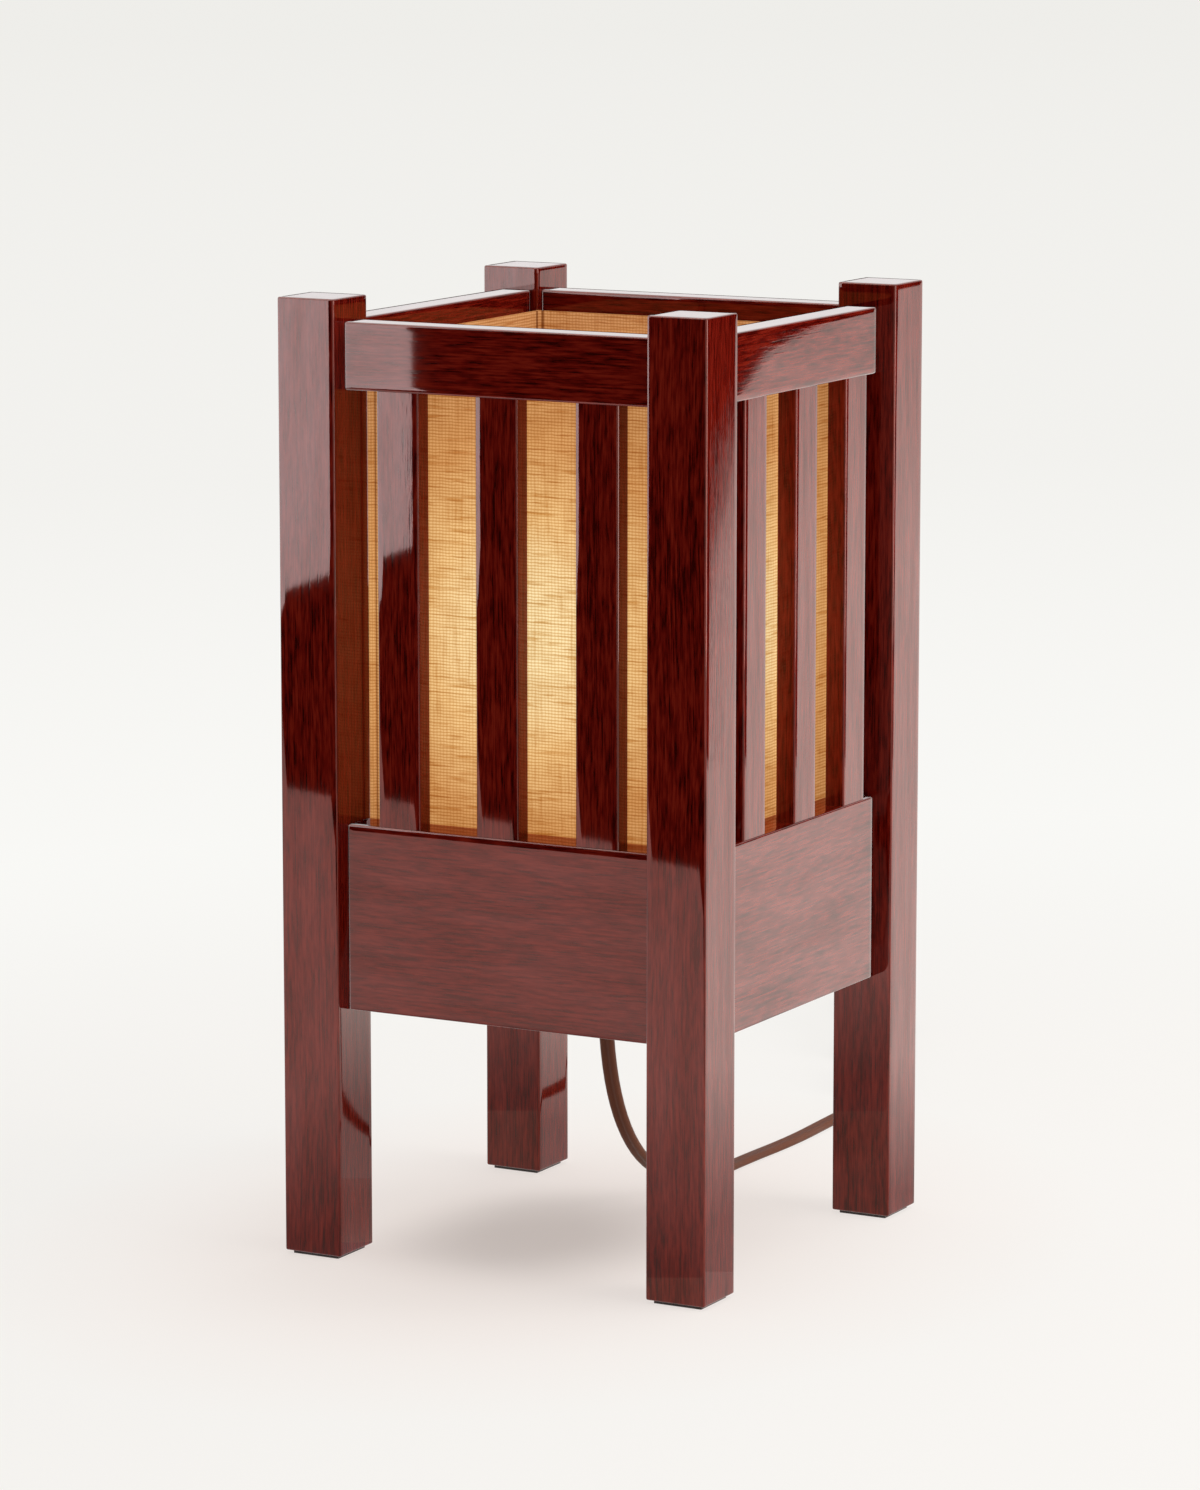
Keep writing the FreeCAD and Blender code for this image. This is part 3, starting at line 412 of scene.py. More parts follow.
@cache
def speckle_group():
    """Faint clouds and fine grain in moulded, cast and brushed surfaces."""
    tree, given, end = new_group(
        "Fine Speckle",
        {"Vector": "vector", "Color": "colour", "Spread": "value", "Roughness": "value"},
        {"Color": "colour", "Roughness": "value", "Height": "value"},
    )
    clouds = noise(tree, given["Vector"], 60.0, 3.0)
    grain = noise(tree, given["Vector"], 2400.0, 2.0)
    dim = calc(tree, "SUBTRACT", 1.0, given["Spread"])
    glow = calc(tree, "ADD", 1.0, given["Spread"])
    mixed = calc(tree, "MULTIPLY_ADD", grain, 0.4, calc(tree, "MULTIPLY", clouds, 0.6))
    level = spread(tree, mixed, 0.35, 0.65, dim, glow)
    send(
        tree,
        end,
        Color=vector_calc(tree, "SCALE", {0: given["Color"], 3: level}),
        Roughness=calc(tree, "MULTIPLY", given["Roughness"], spread(tree, clouds, 0.3, 0.7, 0.8, 1.25)),
        Height=grain,
    )
    return tree


# Finishes

GRAIN_TURNS = {
    "upright": (0.0, 0.0, 0.0),
    "lengthwise": (0.0, math.pi / 2, 0.0),
    "crosswise": (math.pi / 2, 0.0, 0.0),
}


def grain_along(tree, place, settings, run, tones, fine=1.0):
    """The grain, turned to run along a piece, in its deep, warm and light tones."""
    inputs = {"Vector": place, "Rotation": GRAIN_TURNS[run], "Scale": (1.0, fine, 1.0)}
    turned = node(tree, "ShaderNodeMapping", inputs).outputs[0]
    tones = dict(zip(("Deep", "Warm", "Light"), tones))
    return placed(
        tree, grain_group(), Vector=turned, Fleck=settings.fleck, Stretch=settings.stretch, **tones
    )


def red_wood(settings, run):
    """Lacquered red wood whose grain runs upright, along X or along Y."""
    made, tree, shader, place = new_material(f"red_wood_{run}")
    fine = settings.side_fineness if run == "upright" else 1.0
    tones = (settings.deep, settings.warm, settings.light)
    grain = grain_along(tree, place, settings, run, tones, fine)
    send(
        tree,
        shader,
        Base_Color=grain["Color"],
        Roughness=calc(tree, "MULTIPLY", grain["Gloss"], settings.roughness),
        Coat_Weight=calc(tree, "MULTIPLY", grain["Polish"], settings.polish),
    )
    bump(tree, shader, grain["Height"], settings.relief)
    tint = (*settings.gloss_tint, 1.0)
    set_inputs(shader, IOR=settings.gloss_index, Specular_Tint=tint, Coat_Roughness=0.02)
    return made


def plain_wood(settings):
    """The unlacquered wood of the base board and its cleats."""
    made, tree, shader, place = new_material("base_wood")
    tones = (settings.board_deep, settings.board_warm, settings.board_light)
    grain = grain_along(tree, place, settings, "lengthwise", tones)
    rough = calc(tree, "MULTIPLY", grain["Gloss"], settings.board_roughness)
    send(tree, shader, Base_Color=grain["Color"], Roughness=rough)
    bump(tree, shader, grain["Height"], settings.board_relief)
    return made


# The glow is strongest beside this point in the globe, and its tones change at these shares of the way out

GLOW_MIDDLE = Vector((3.0 * MM, -8.0 * MM, globe_high.z - 16.0 * MM))
GLOW_SHARES = (1.0, 1.25, 1.6, 2.3)
STITCH_EDGES = (0.25 * MM, 0.75 * MM)


def linen(settings):
    """Woven linen, lit from inside: thin where the threads leave holes, and brown along its slubs."""
    made, tree, shader, place = new_material("lit_linen")
    axes = split(tree, place)
    across = calc(tree, "ADD", axes["X"], axes["Y"])
    weave = placed(tree, weave_group(), Across=across, Up=axes["Z"], Pitch=settings.thread)
    gap = vector_calc(tree, "DISTANCE", {0: place, 1: GLOW_MIDDLE}, "Value")
    reaches = [share * (shade_high.x + GLOW_MIDDLE.y) for share in GLOW_SHARES]
    glow = settings.hot
    for tone, start, stop in zip((settings.warm, settings.middle, settings.edge), reaches, reaches[1:]):
        glow = blended(tree, spread(tree, gap, start, stop), glow, tone)
    sides = [calc(tree, "ABSOLUTE", axes[axis]) for axis in ("X", "Y")]
    # Along each seam line the glow and the linen's colour are darkened: partly the doubled linen, partly
    # painted shade of the groove.
    off = calc(tree, "SUBTRACT", shade_high.x - settings.seam_place, calc(tree, "MINIMUM", *sides))
    doubled_and_shaded_seam = spread(tree, calc(tree, "ABSOLUTE", off), *STITCH_EDGES, 1.0, 0.0)
    thin = blended(tree, weave["Dot"], settings.web, WHITE)
    thin = blended(tree, weave["Slub"], thin, scaled(tree, thin, settings.slub))
    thin = blended(tree, doubled_and_shaded_seam, thin, scaled(tree, thin, settings.seam))
    lit = blended(tree, 1.0, glow, thin, "MULTIPLY")
    # Painted reflection: rays that the lacquer mirrors see the glow dimmed and reddened by this tint.
    rays = tree.nodes.new("ShaderNodeLightPath").outputs
    lit = blended(tree, rays["Is Glossy Ray"], lit, scaled(tree, lit, settings.painted_reflection_tint))
    yarn = blended(tree, 1.0, settings.yarn, thin, "MULTIPLY")
    send(tree, shader, Emission_Color=lit, Base_Color=yarn)
    bump(tree, shader, weave["Height"], 0.10 * MM)
    set_inputs(shader, Roughness=0.85, Emission_Strength=settings.strength, Specular_IOR_Level=0.2)
    return made


def speckled(name, tone, roughness, unevenness, depth, **shader_values):
    """A finish with faint clouds and a fine grain."""
    made, tree, shader, place = new_material(name)
    speckle = placed(tree, speckle_group(), Vector=place, Color=tone, Spread=unevenness, Roughness=roughness)
    send(tree, shader, Base_Color=speckle["Color"], Roughness=speckle["Roughness"])
    bump(tree, shader, speckle["Height"], depth)
    set_inputs(shader, **shader_values)
    return made


# Plain finishes by slot: tone, roughness, unevenness, depth of the grain, and the shader's other values

METAL = {"Metallic": 1.0}
PLAIN_FINISHES = {
    "felt": ((0.030, 0.018, 0.014), 0.95, 0.5, 0.3 * MM, {"Sheen_Weight": 0.3}),
    "screw_steel": ((0.45, 0.43, 0.40), 0.35, 0.15, 0.01 * MM, METAL),
    "washer_steel": ((0.50, 0.49, 0.47), 0.32, 0.12, 0.01 * MM, METAL),
    "brass": ((0.62, 0.40, 0.15), 0.28, 0.18, 0.01 * MM, METAL),
    "black_phenolic": ((0.016, 0.014, 0.013), 0.4, 0.35, 0.02 * MM, {}),
    "lead_insulation": ((0.20, 0.10, 0.06), 0.5, 0.2, 0.01 * MM, {}),
    "bulb_metal": ((0.62, 0.60, 0.56), 0.3, 0.12, 0.01 * MM, METAL),
    "bulb_black": ((0.012, 0.012, 0.014), 0.2, 0.3, 0.005 * MM, {}),
    "clear_glass": ((0.8, 0.8, 0.78), 0.1, 0.05, 0.005 * MM, {"Transmission_Weight": 0.9}),
    "filament_wire": ((0.9, 0.6, 0.3), 0.4, 0.1, 0.005 * MM, METAL),
}


def plain_finish(slot):
    """The plain finish of a slot."""
    *surface, shader_values = PLAIN_FINISHES[slot]
    return speckled(slot, *surface, **shader_values)


def webbing(settings):
    """The woven band of the tie."""
    made, tree, shader, place = new_material("tie_webbing")
    axes = split(tree, place)
    around = calc(tree, "ADD", axes["X"], axes["Z"])
    weave = placed(tree, weave_group(), Across=around, Up=axes["Y"], Pitch=settings.tie_thread)
    # Painted shade: the webbing is darker where its threads lie low, between the ones on top.
    dark = [0.4 * part for part in settings.webbing]
    send(tree, shader, Base_Color=blended(tree, weave["Thread"], dark, settings.webbing))
    bump(tree, shader, weave["Height"], 0.15 * MM)
    set_inputs(shader, Roughness=0.9)
    return made


def frosted_glass():
    """The bulb's frosted glass, lit by its filament."""
    made, tree, shader, place = new_material("frosted_glass")
    neck = 55.0 * MM
    rise = spread(tree, split(tree, place)["Z"], globe_low.z, globe_low.z + neck)
    haze = noise(tree, place, 900.0, 2.0)
    warm = blended(tree, rise, (0.55, 0.26, 0.09), (1.0, 0.83, 0.55))
    level = spread(tree, haze, 0.2, 0.8, 0.94, 1.06)
    send(tree, shader, Emission_Color=vector_calc(tree, "SCALE", {0: warm, 3: level}))
    bump(tree, shader, haze, 0.01 * MM)
    set_inputs(shader, Base_Color=(0.9, 0.88, 0.82, 1.0), Roughness=0.35, Emission_Strength=1.8)
    return made


# Pieces


def add_object(name, data):
    """Links a new object into the scene."""
    made = bpy.data.objects.new(name, data)
    bpy.context.scene.collection.objects.link(made)
    return made


def add_piece(name, mesh, material, body, nodes):
    """Puts a finished mesh into the scene, on its body and in place of the solids that it stands for."""
    piece = add_object(name, mesh)
    mesh.materials.append(material)
    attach(piece, body)
    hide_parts(*nodes)
    return piece


def to_mesh(bm, name, sharp_angle=30.0):
    """A smooth mesh from a bmesh, with its hard edges kept."""
    mesh = bpy.data.meshes.new(name)
    bm.to_mesh(mesh)
    bm.free()
    mesh.polygons.foreach_set("use_smooth", [True] * len(mesh.polygons))
    mesh.set_sharp_from_angle(angle=math.radians(sharp_angle))
    return mesh


def by_slot(slot_name):
    """The solids of one material slot."""
    return [name for name, piece in frame["nodes"].items() if piece.material_slots[0].name == slot_name]


def dress(slot_name, finish):
    """Gives a slot's solids their finish, and hands it on."""
    for name in by_slot(slot_name):
        for slot in frame["nodes"][name].material_slots:
            slot.material = finish
    return finish


def round_edges(bm, edges, radius, segments):
    """Rounds edges off."""
    bmesh.ops.bevel(
        bm, geom=edges, offset=radius, segments=segments, profile=0.5, affect="EDGES", material=-1
    )


def cut(bm, place, across, clear=False):
    """Cuts a mesh along a plane, and clears what lies past it where asked."""
    everything = bm.verts[:] + bm.edges[:] + bm.faces[:]
    bmesh.ops.bisect_plane(bm, geom=everything, plane_co=place, plane_no=across, clear_outer=clear)


def give_wall(bm, wall):
    """Makes a shell's faces point one way and gives it its thickness."""
    bmesh.ops.recalc_face_normals(bm, faces=bm.faces)
    bmesh.ops.solidify(bm, geom=bm.faces, thickness=wall)


def eased_block(settings, low, high):
    """A block of wood with rounded edges, cut beside them so that its faces turn softly towards them."""
    bm = bmesh.new()
    bmesh.ops.create_cube(bm, size=1.0)
    bmesh.ops.scale(bm, verts=bm.verts, vec=high - low)
    bmesh.ops.translate(bm, verts=bm.verts, vec=(low + high) / 2)
    round_edges(bm, bm.edges, settings.edge, segments=5)
    for axis in range(3):
        inset = settings.edge + min(settings.shoulder, 0.25 * (high[axis] - low[axis]))
        across = Vector([float(n == axis) for n in range(3)])
        for place in (low + across * inset, high - across * inset):
            cut(bm, place, across)
    return bm


def grain_run(name):
    """Which way the grain of a red piece runs."""
    if not name.startswith(("top_rail_", "apron_")):
        return "upright"
    return "lengthwise" if name.endswith(("front", "back")) else "crosswise"


def wood_block_box(settings, name):
    """What shows of a wooden solid: posts whole, rails between the posts, slats just into rail and apron."""
    low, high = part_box(name)
    run = grain_run(name)
    if run != "upright":
        along = 0 if run == "lengthwise" else 1
        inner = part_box("post_back_right")[0][along]
        low[along] = -inner
        high[along] = inner
    if name.startswith("slat_"):
        low.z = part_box("apron_front")[1].z - settings.slat_end
        high.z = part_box("top_rail_front")[0].z + settings.slat_end
    return low, high


class LANTERN_OT_wood(bpy.types.Operator):
    """Make the lacquered posts, rails, aprons and slats, and finish the board under the shade"""

    bl_idname = "lantern.wood"
    bl_label = "Wooden Frame"

    def execute(self, context):
        settings = context.scene.lantern_wood
        finishes = {run: red_wood(settings, run) for run in GRAIN_TURNS}
        for name in by_slot("rosewood"):
            block = eased_block(settings, *wood_block_box(settings, name))
            mesh = to_mesh(block, f"lacquered_{name}", 60.0)
            piece = add_piece(mesh.name, mesh, finishes[grain_run(name)], "lamp_frame", [name])
            piece.visible_glossy = not name.startswith("post_")
        dress("base_wood", plain_wood(settings))
        for slot in ("felt", "screw_steel"):
            dress(slot, plain_finish(slot))
        return {"FINISHED"}


# A corner bead's points, in degrees round its middle

BEAD_POINTS = 9
BEAD_START = 133.0
BEAD_STEP = 23.0

# The seam beside a bead: how far along the side, in radii of the bead, and the share of the groove's depth

SEAM = ((1.45, 1.0), (1.9, 1.0), (2.5, 0.0))
SIDE_STEPS = 12
SHADE_ROWS = 12


def shade_outline(settings):
    """The shade's outer line from above: rounded corner beads, a seam beside each, and sides drawn in."""
    half = shade_high.x
    bead = settings.bead
    middle = -half + settings.bead_inset
    flat = half - SEAM[-1][0] * bead
    points = []
    for quarter in range(4):
        turn = Matrix.Rotation(quarter * math.pi / 2, 3, "Z")
        line = []
        for n in range(BEAD_POINTS):
            angle = math.radians(BEAD_START + BEAD_STEP * n)
            line.append((middle + bead * math.cos(angle), middle + bead * math.sin(angle)))
        for along, depth in SEAM:
            line.append((-half + along * bead, -half + depth * settings.groove))
        for n in range(1, SIDE_STEPS):
            x = -flat + 2 * flat * n / SIDE_STEPS
            line.append((x, -half + settings.sag * math.cos(math.pi / 2 * x / flat)))
        for along, depth in reversed(SEAM):
            line.append((half - along * bead, -half + depth * settings.groove))
        points += [turn @ Vector((x, y, 0.0)) for x, y in line]
    return points


class LANTERN_OT_shade(bpy.types.Operator):
    """Make the woven shade that lifts out of the frame"""

    bl_idname = "lantern.shade"
    bl_label = "Linen Shade"

    def execute(self, context):
        settings = context.scene.lantern_linen
        bm = bmesh.new()
        ring = [bm.verts.new(point + Vector((0, 0, shade_low.z))) for point in shade_outline(settings)]
        edges = [bm.edges.new(pair) for pair in zip(ring, ring[1:] + ring[:1])]
        rise = (shade_high.z - shade_low.z) / SHADE_ROWS
        for _ in range(SHADE_ROWS):
            grown = bmesh.ops.extrude_edge_only(bm, edges=edges)["geom"]
            verts = [part for part in grown if isinstance(part, bmesh.types.BMVert)]
            edges = [part for part in grown if isinstance(part, bmesh.types.BMEdge)]
            bmesh.ops.translate(bm, verts=verts, vec=(0, 0, rise))
        give_wall(bm, settings.wall)
        mesh = to_mesh(bm, "linen_shade", 60.0)
        piece = add_piece("linen_shade", mesh, linen(settings), "shade_body", ["shade"])
        return {"FINISHED"}


def turned_piece(profile, rise=0.0, steps=64):
    """A shell turned about the upright axis from (radius, height) points; a thread rises as it turns."""
    bm = bmesh.new()
    verts = [bm.verts.new((radius, 0.0, height)) for radius, height in profile]
    edges = [bm.edges.new(pair) for pair in zip(verts, verts[1:])]
    bmesh.ops.spin(
        bm,
        geom=verts + edges,
        axis=(0, 0, 1),
        cent=(0, 0, 0),
        dvec=(0, 0, rise / steps),
        angle=2 * math.pi,
        steps=steps,
        use_merge=not rise,
    )
    bmesh.ops.remove_doubles(bm, verts=bm.verts, dist=0.01 * MM)
    return bm


# Turns of thread that start below the cap's foot, before it is trimmed

THREAD_LEAD = 1.5


def threaded_cap(settings):
    """The bulb's screw cap: a rolled thread, trimmed flat at both ends and closed below."""
    low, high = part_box("bulb_cap")
    turns = round((high.z - low.z) / settings.pitch) + 2
    profile = []
    for n in range(turns * settings.thread_steps + 1):
        turn = n / settings.thread_steps
        dip = settings.thread_depth * (1 + math.cos(2 * math.pi * turn)) / 2
        profile.append((high.x - dip, low.z + (turn - THREAD_LEAD) * settings.pitch))
    bm = turned_piece(profile, rise=settings.pitch)
    for height, outward in ((high.z, 1), (low.z, -1)):
        cut(bm, Vector((0, 0, height)), (0, 0, outward), clear=True)
    foot = low.z + 0.1 * MM
    rim = [edge for edge in bm.edges if edge.is_boundary and edge.verts[0].co.z < foot]
    bmesh.ops.edgeloop_fill(bm, edges=rim)
    give_wall(bm, settings.cap_wall)
    return to_mesh(bm, "threaded_cap", 50.0)


class LANTERN_OT_bulb(bpy.types.Operator):
    """Make the bulb's screw cap and finish its glass"""

    bl_idname = "lantern.bulb"
    bl_label = "Bulb"

    def execute(self, context):
        dress("frosted_glass", frosted_glass())
        metal = dress("bulb_metal", plain_finish("bulb_metal"))
        cap = threaded_cap(context.scene.lantern_bulb)
        add_piece("threaded_cap", cap, metal, "bulb_screw", ["bulb_cap"])
        for slot in ("bulb_black", "clear_glass", "filament_wire"):
            dress(slot, plain_finish(slot))
        return {"FINISHED"}


BEAD_STEPS = 8
LIP_STEPS = 6


def spun_shell(settings):
    """The holder's brass shell: a wall with a bead pressed in at each end and a rolled lip at the top."""
    low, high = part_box("holder_shell")
    outer = high.x
    lip = settings.lip
    profile = [(outer, low.z)]
    for middle in (low.z + settings.low_bead, high.z - settings.high_bead):
        for n in range(BEAD_STEPS + 1):
            share = n / BEAD_STEPS
            dip = settings.bead_depth * math.sin(math.pi * share)
            profile.append((outer - dip, middle + settings.bead_half * (2 * share - 1)))
    for n in range(LIP_STEPS + 1):
        angle = math.pi / 2 * n / LIP_STEPS
        profile.append((outer - lip * (1 - math.cos(angle)), high.z - lip + lip * math.sin(angle)))
    bm = turned_piece(profile)
    give_wall(bm, settings.shell_wall)
    return to_mesh(bm, "spun_shell", 50.0)


class LANTERN_OT_holder(bpy.types.Operator):
    """Make the lampholder's shell, and finish its other pieces, its nuts and leads"""

    bl_idname = "lantern.holder"
    bl_label = "Lampholder"

    def execute(self, context):
        brass = dress("brass", plain_finish("brass"))
        shell = spun_shell(context.scene.lantern_bulb)
        add_piece("spun_shell", shell, brass, "lamp_frame", ["holder_shell"])
        for slot in ("washer_steel", "black_phenolic", "lead_insulation"):
            dress(slot, plain_finish(slot))
        return {"FINISHED"}


# The flex lies on its own axis behind the frame, as its solids do

LAY_START = Vector((0.0175, 0.2184, 0.0))
LAY_HEADING = math.radians(115.75)
LAY_TURN = Matrix.Rotation(LAY_HEADING, 3, "Z")

CORD_START = Vector((0.0, 0.0, 0.1045))
CORD_POINTS = (
    Vector((0.0, 0.0, 0.080)),
    Vector((0.0, 0.012, 0.044)),
    Vector((-0.0005, 0.038, 0.018)),
    Vector((-0.001, 0.080, 0.002)),
    Vector((-0.0022, 0.125, 0.0018)),
    Vector((0.0006, 0.172, 0.0018)),
    Vector((-0.0015, 0.212, 0.0018)),
)
ENTRY_HEIGHT = 5.0 * MM
ENTRY_RUN = 24.0 * MM
SWITCH_START = 58.0 * MM
SWITCH_END = 106.0 * MM
LEAD_STRAIGHT = 8.0 * MM
LEAD_BEND = 17.0 * MM
HANK_MIDDLE = 205.0 * MM
HANK_HALF_RUN = 57.0 * MM
HANK_LOOPS = 2
HANK_OUTER = 16.0 * MM
HANK_HALF_STEP = 2.0 * MM
HANK_SHIFT = -1.0 * MM
HANK_DRAW = 6.0 * MM
HANK_LAYER = 7.1 * MM
TAIL_LIFT = 7.2 * MM
TAIL_RUNS = (4.0 * MM, 11.0 * MM)
PLUG_REAR = 235.0 * MM
PLUG_STRAIGHT = 7.0 * MM
PLUG_LATERAL = -4.0 * MM
PLUG_HEIGHT = 23.6 * MM
FOLD_CORNERS = 4
RUN_POINTS = 7
CORE_STEPS = 10


def on_lay(x, y, z):
    """A point of the put-away flex's own axis, in the lamp's frame."""
    return LAY_START + LAY_TURN @ Vector((x, y, z))


def eased(share):
    """A smooth step from 0 to 1."""
    held = min(max(share, 0.0), 1.0)
    return (1 - math.cos(math.pi * held)) / 2


def hank_points():
    """The hank's loops on its own axis: two layers of runs drawn in at the waist, joined by round folds."""
    inward = [HANK_OUTER - n * HANK_HALF_STEP for n in range(2 * HANK_LOOPS + 1)]
    offsets = inward + inward[-2::-1]
    climb = len(inward) - 1
    final = len(offsets) - 1
    low = ENTRY_HEIGHT
    high = low + HANK_LAYER
    half_corner = math.pi / FOLD_CORNERS / 2
    points = []
    for n, offset in enumerate(offsets):
        sign = 1 if n % 2 == 0 else -1
        place = sign * offset + HANK_SHIFT
        after = -sign * offsets[n + 1] + HANK_SHIFT if n < final else PLUG_LATERAL
        radius = abs(place - after) / 2
        reach = HANK_HALF_RUN - radius * math.tan(half_corner)
        start = low if n <= climb else high
        rise = {climb: HANK_LAYER, final: TAIL_LIFT}.get(n, 0.0)
        for step in range(RUN_POINTS):
            share = step / (RUN_POINTS - 1)
            x = (2 * share - 1) * reach
            pull = HANK_DRAW * (1 + math.cos(math.pi * x / HANK_HALF_RUN)) / 2
            lift = rise * eased(2 * share - 1 if n == final else share)
            points.append((HANK_MIDDLE + sign * x, place - sign * pull, start + lift))
        middle = (place + after) / 2
        corner = radius / math.cos(half_corner)
        for step in range(FOLD_CORNERS):
            angle = math.pi / 2 - (2 * step + 1) * half_corner
            x = HANK_MIDDLE + sign * (HANK_HALF_RUN + corner * math.cos(angle))
            y = middle + sign * corner * math.sin(angle)
            points.append((x, y, start + rise))
    return points


def flex_route():
    """Every control point of the flex, and how far the flex is rolled there."""
    tail = ENTRY_HEIGHT + HANK_LAYER + TAIL_LIFT
    run_in = HANK_MIDDLE - HANK_HALF_RUN
    run_out = HANK_MIDDLE + HANK_HALF_RUN
    first_y = HANK_OUTER + HANK_SHIFT
    flat = [CORD_START, *CORD_POINTS]
    flat += [on_lay(SWITCH_START - ENTRY_RUN, 0, ENTRY_HEIGHT), on_lay(SWITCH_START, 0, ENTRY_HEIGHT)]
    lead = [(SWITCH_END, 0.0), (SWITCH_END + LEAD_STRAIGHT, 0.0), (SWITCH_END + LEAD_BEND, first_y * 0.3)]
    lead += [(run_in - LEAD_BEND, first_y * 0.7), (run_in - LEAD_STRAIGHT, first_y)]
    edge = [on_lay(x, y, ENTRY_HEIGHT) for x, y in lead]
    edge += [on_lay(*point) for point in hank_points()]
    out = [(run_out - run, tail) for run in TAIL_RUNS]
    out += [(PLUG_REAR + PLUG_STRAIGHT, PLUG_HEIGHT), (PLUG_REAR, PLUG_HEIGHT)]
    edge += [on_lay(x, PLUG_LATERAL, z) for x, z in out]
    return [(point, 0.0) for point in flat] + [(point, math.pi / 2) for point in edge]


def flex_section(settings):
    """The flat flex's outline: two round cores with a thinner web between."""
    radius = settings.thickness / 2
    reach = settings.width / 2 - radius
    dip = math.acos(settings.web / 2 / radius)
    points = []
    for side in (1, -1):
        for n in range(CORE_STEPS + 1):
            angle = -math.pi / 2 - dip + (math.pi + 2 * dip) * n / CORE_STEPS
            points.append((side * (reach + radius * math.cos(angle)), side * radius * math.sin(angle)))
    return points


def route_curve(route):
    """The flex's line: one smooth spline through its control points' hull."""
    curve = bpy.data.curves.new("flex_line", "CURVE")
    curve.dimensions = "3D"
    curve.twist_mode = "Z_UP"
    spline = curve.splines.new("NURBS")
    spline.points.add(len(route) - 1)
    for knot, (point, roll) in zip(spline.points, route):
        knot.co = (*point, 1.0)
        knot.tilt = roll
    spline.order_u = 3
    spline.use_endpoint_u = True
    spline.resolution_u = 6
    curve.resolution_u = 6
    return curve


def section_object(settings):
    """The flex's outline as a flat closed curve, for the flex to follow."""
    curve = bpy.data.curves.new("flex_section", "CURVE")
    curve.dimensions = "2D"
    outline = flex_section(settings)
    spline = curve.splines.new("POLY")
    spline.points.add(len(outline) - 1)
    for knot, (x, y) in zip(spline.points, outline):
        knot.co = (x, y, 0.0, 1.0)
    spline.use_cyclic_u = True
    return bpy.data.objects.new("flex_section", curve)


def baked_curve(curve, name):
    """A curve's mesh."""
    holder = add_object(name, curve)
    bpy.context.view_layer.update()
    mesh = bpy.data.meshes.new_from_object(holder.evaluated_get(bpy.context.evaluated_depsgraph_get()))
    bpy.data.objects.remove(holder)
    return mesh


def hank_strap(settings):
    """The woven band round the hank's waist, with rounded corners and soft rims."""
    outer_run = HANK_OUTER - HANK_DRAW - HANK_HALF_STEP / 2
    over = settings.width / 2 + settings.tie_reach - settings.thickness / 2
    bottom = ENTRY_HEIGHT - over
    top = ENTRY_HEIGHT + HANK_LAYER + over
    half = Vector((settings.tie_width / 2, outer_run + settings.tie_reach, (top - bottom) / 2))
    bm = bmesh.new()
    bmesh.ops.create_cube(bm, size=2.0)
    bmesh.ops.scale(bm, verts=bm.verts, vec=half)
    ends = [face for face in bm.faces if abs(face.normal.x) > 0.5]
    bmesh.ops.delete(bm, geom=ends, context="FACES_ONLY")
    along = [edge for edge in bm.edges if abs(edge.verts[0].co.x - edge.verts[1].co.x) > half.x]
    round_edges(bm, along, settings.tie_corner, segments=6)
    bmesh.ops.solidify(bm, geom=bm.faces, thickness=settings.tie_wall)
    rims = [edge for edge in bm.edges if edge.calc_face_angle(0.0) > 1.0]
    round_edges(bm, rims, 0.3 * settings.tie_wall, segments=3)
    place = on_lay(HANK_MIDDLE, 0.0, (top + bottom) / 2)
    bmesh.ops.transform(bm, verts=bm.verts, matrix=Matrix.Translation(place) @ LAY_TURN.to_4x4())
    return to_mesh(bm, "hank_strap", 50.0)


class LANTERN_OT_flex(bpy.types.Operator):
    """Lay the flat flex from the base, along the floor, through the switch and into its tied hank"""

    bl_idname = "lantern.flex"
    bl_label = "Flat Flex"

    def execute(self, context):
        settings = context.scene.lantern_flex
        curve = route_curve(flex_route())
        line = baked_curve(curve, "flex_line")
        section = section_object(settings)
        curve.bevel_mode = "OBJECT"
        curve.bevel_object = section
        curve.use_fill_caps = True
        mesh = baked_curve(curve, "flex_body")
        bpy.data.objects.remove(section)
        bpy.data.curves.remove(curve)
        bm = bmesh.new()
        bm.from_mesh(mesh)
        bmesh.ops.remove_doubles(bm, verts=bm.verts, dist=0.001 * MM)
        bmesh.ops.recalc_face_normals(bm, faces=bm.faces)
        mesh = to_mesh(bm, "flat_flex", 50.0)
        covering = speckled("brown_flex", settings.tone, 0.45, 0.12, 0.01 * MM, Specular_IOR_Level=0.2)
        piece = add_piece("flat_flex", mesh, covering, "lamp_frame", ["cord_run", "cord_hank"])
        tie = hank_strap(settings)
        strap = add_piece("hank_strap", tie, webbing(settings), "lamp_frame", ["cord_tie"])
        return {"FINISHED"}


class LANTERN_OT_fittings(bpy.types.Operator):
    """Finish the switch and the plug"""

    bl_idname = "lantern.fittings"
    bl_label = "Flex Fittings"

    def execute(self, context):
        settings = context.scene.lantern_flex
        dress("brown_plastic", speckled("brown_plastic", settings.plastic, 0.38, 0.12, 0.015 * MM))
        dress("dark_plastic", speckled("dark_plastic", settings.dark_plastic, 0.42, 0.2, 0.015 * MM))
        return {"FINISHED"}


# Stage: a card's light grows over one distance from the lamp and changes over one height, in metres

CARD_NEAR = (0.16, 0.42)
CARD_HIGH = (0.12, 0.27)


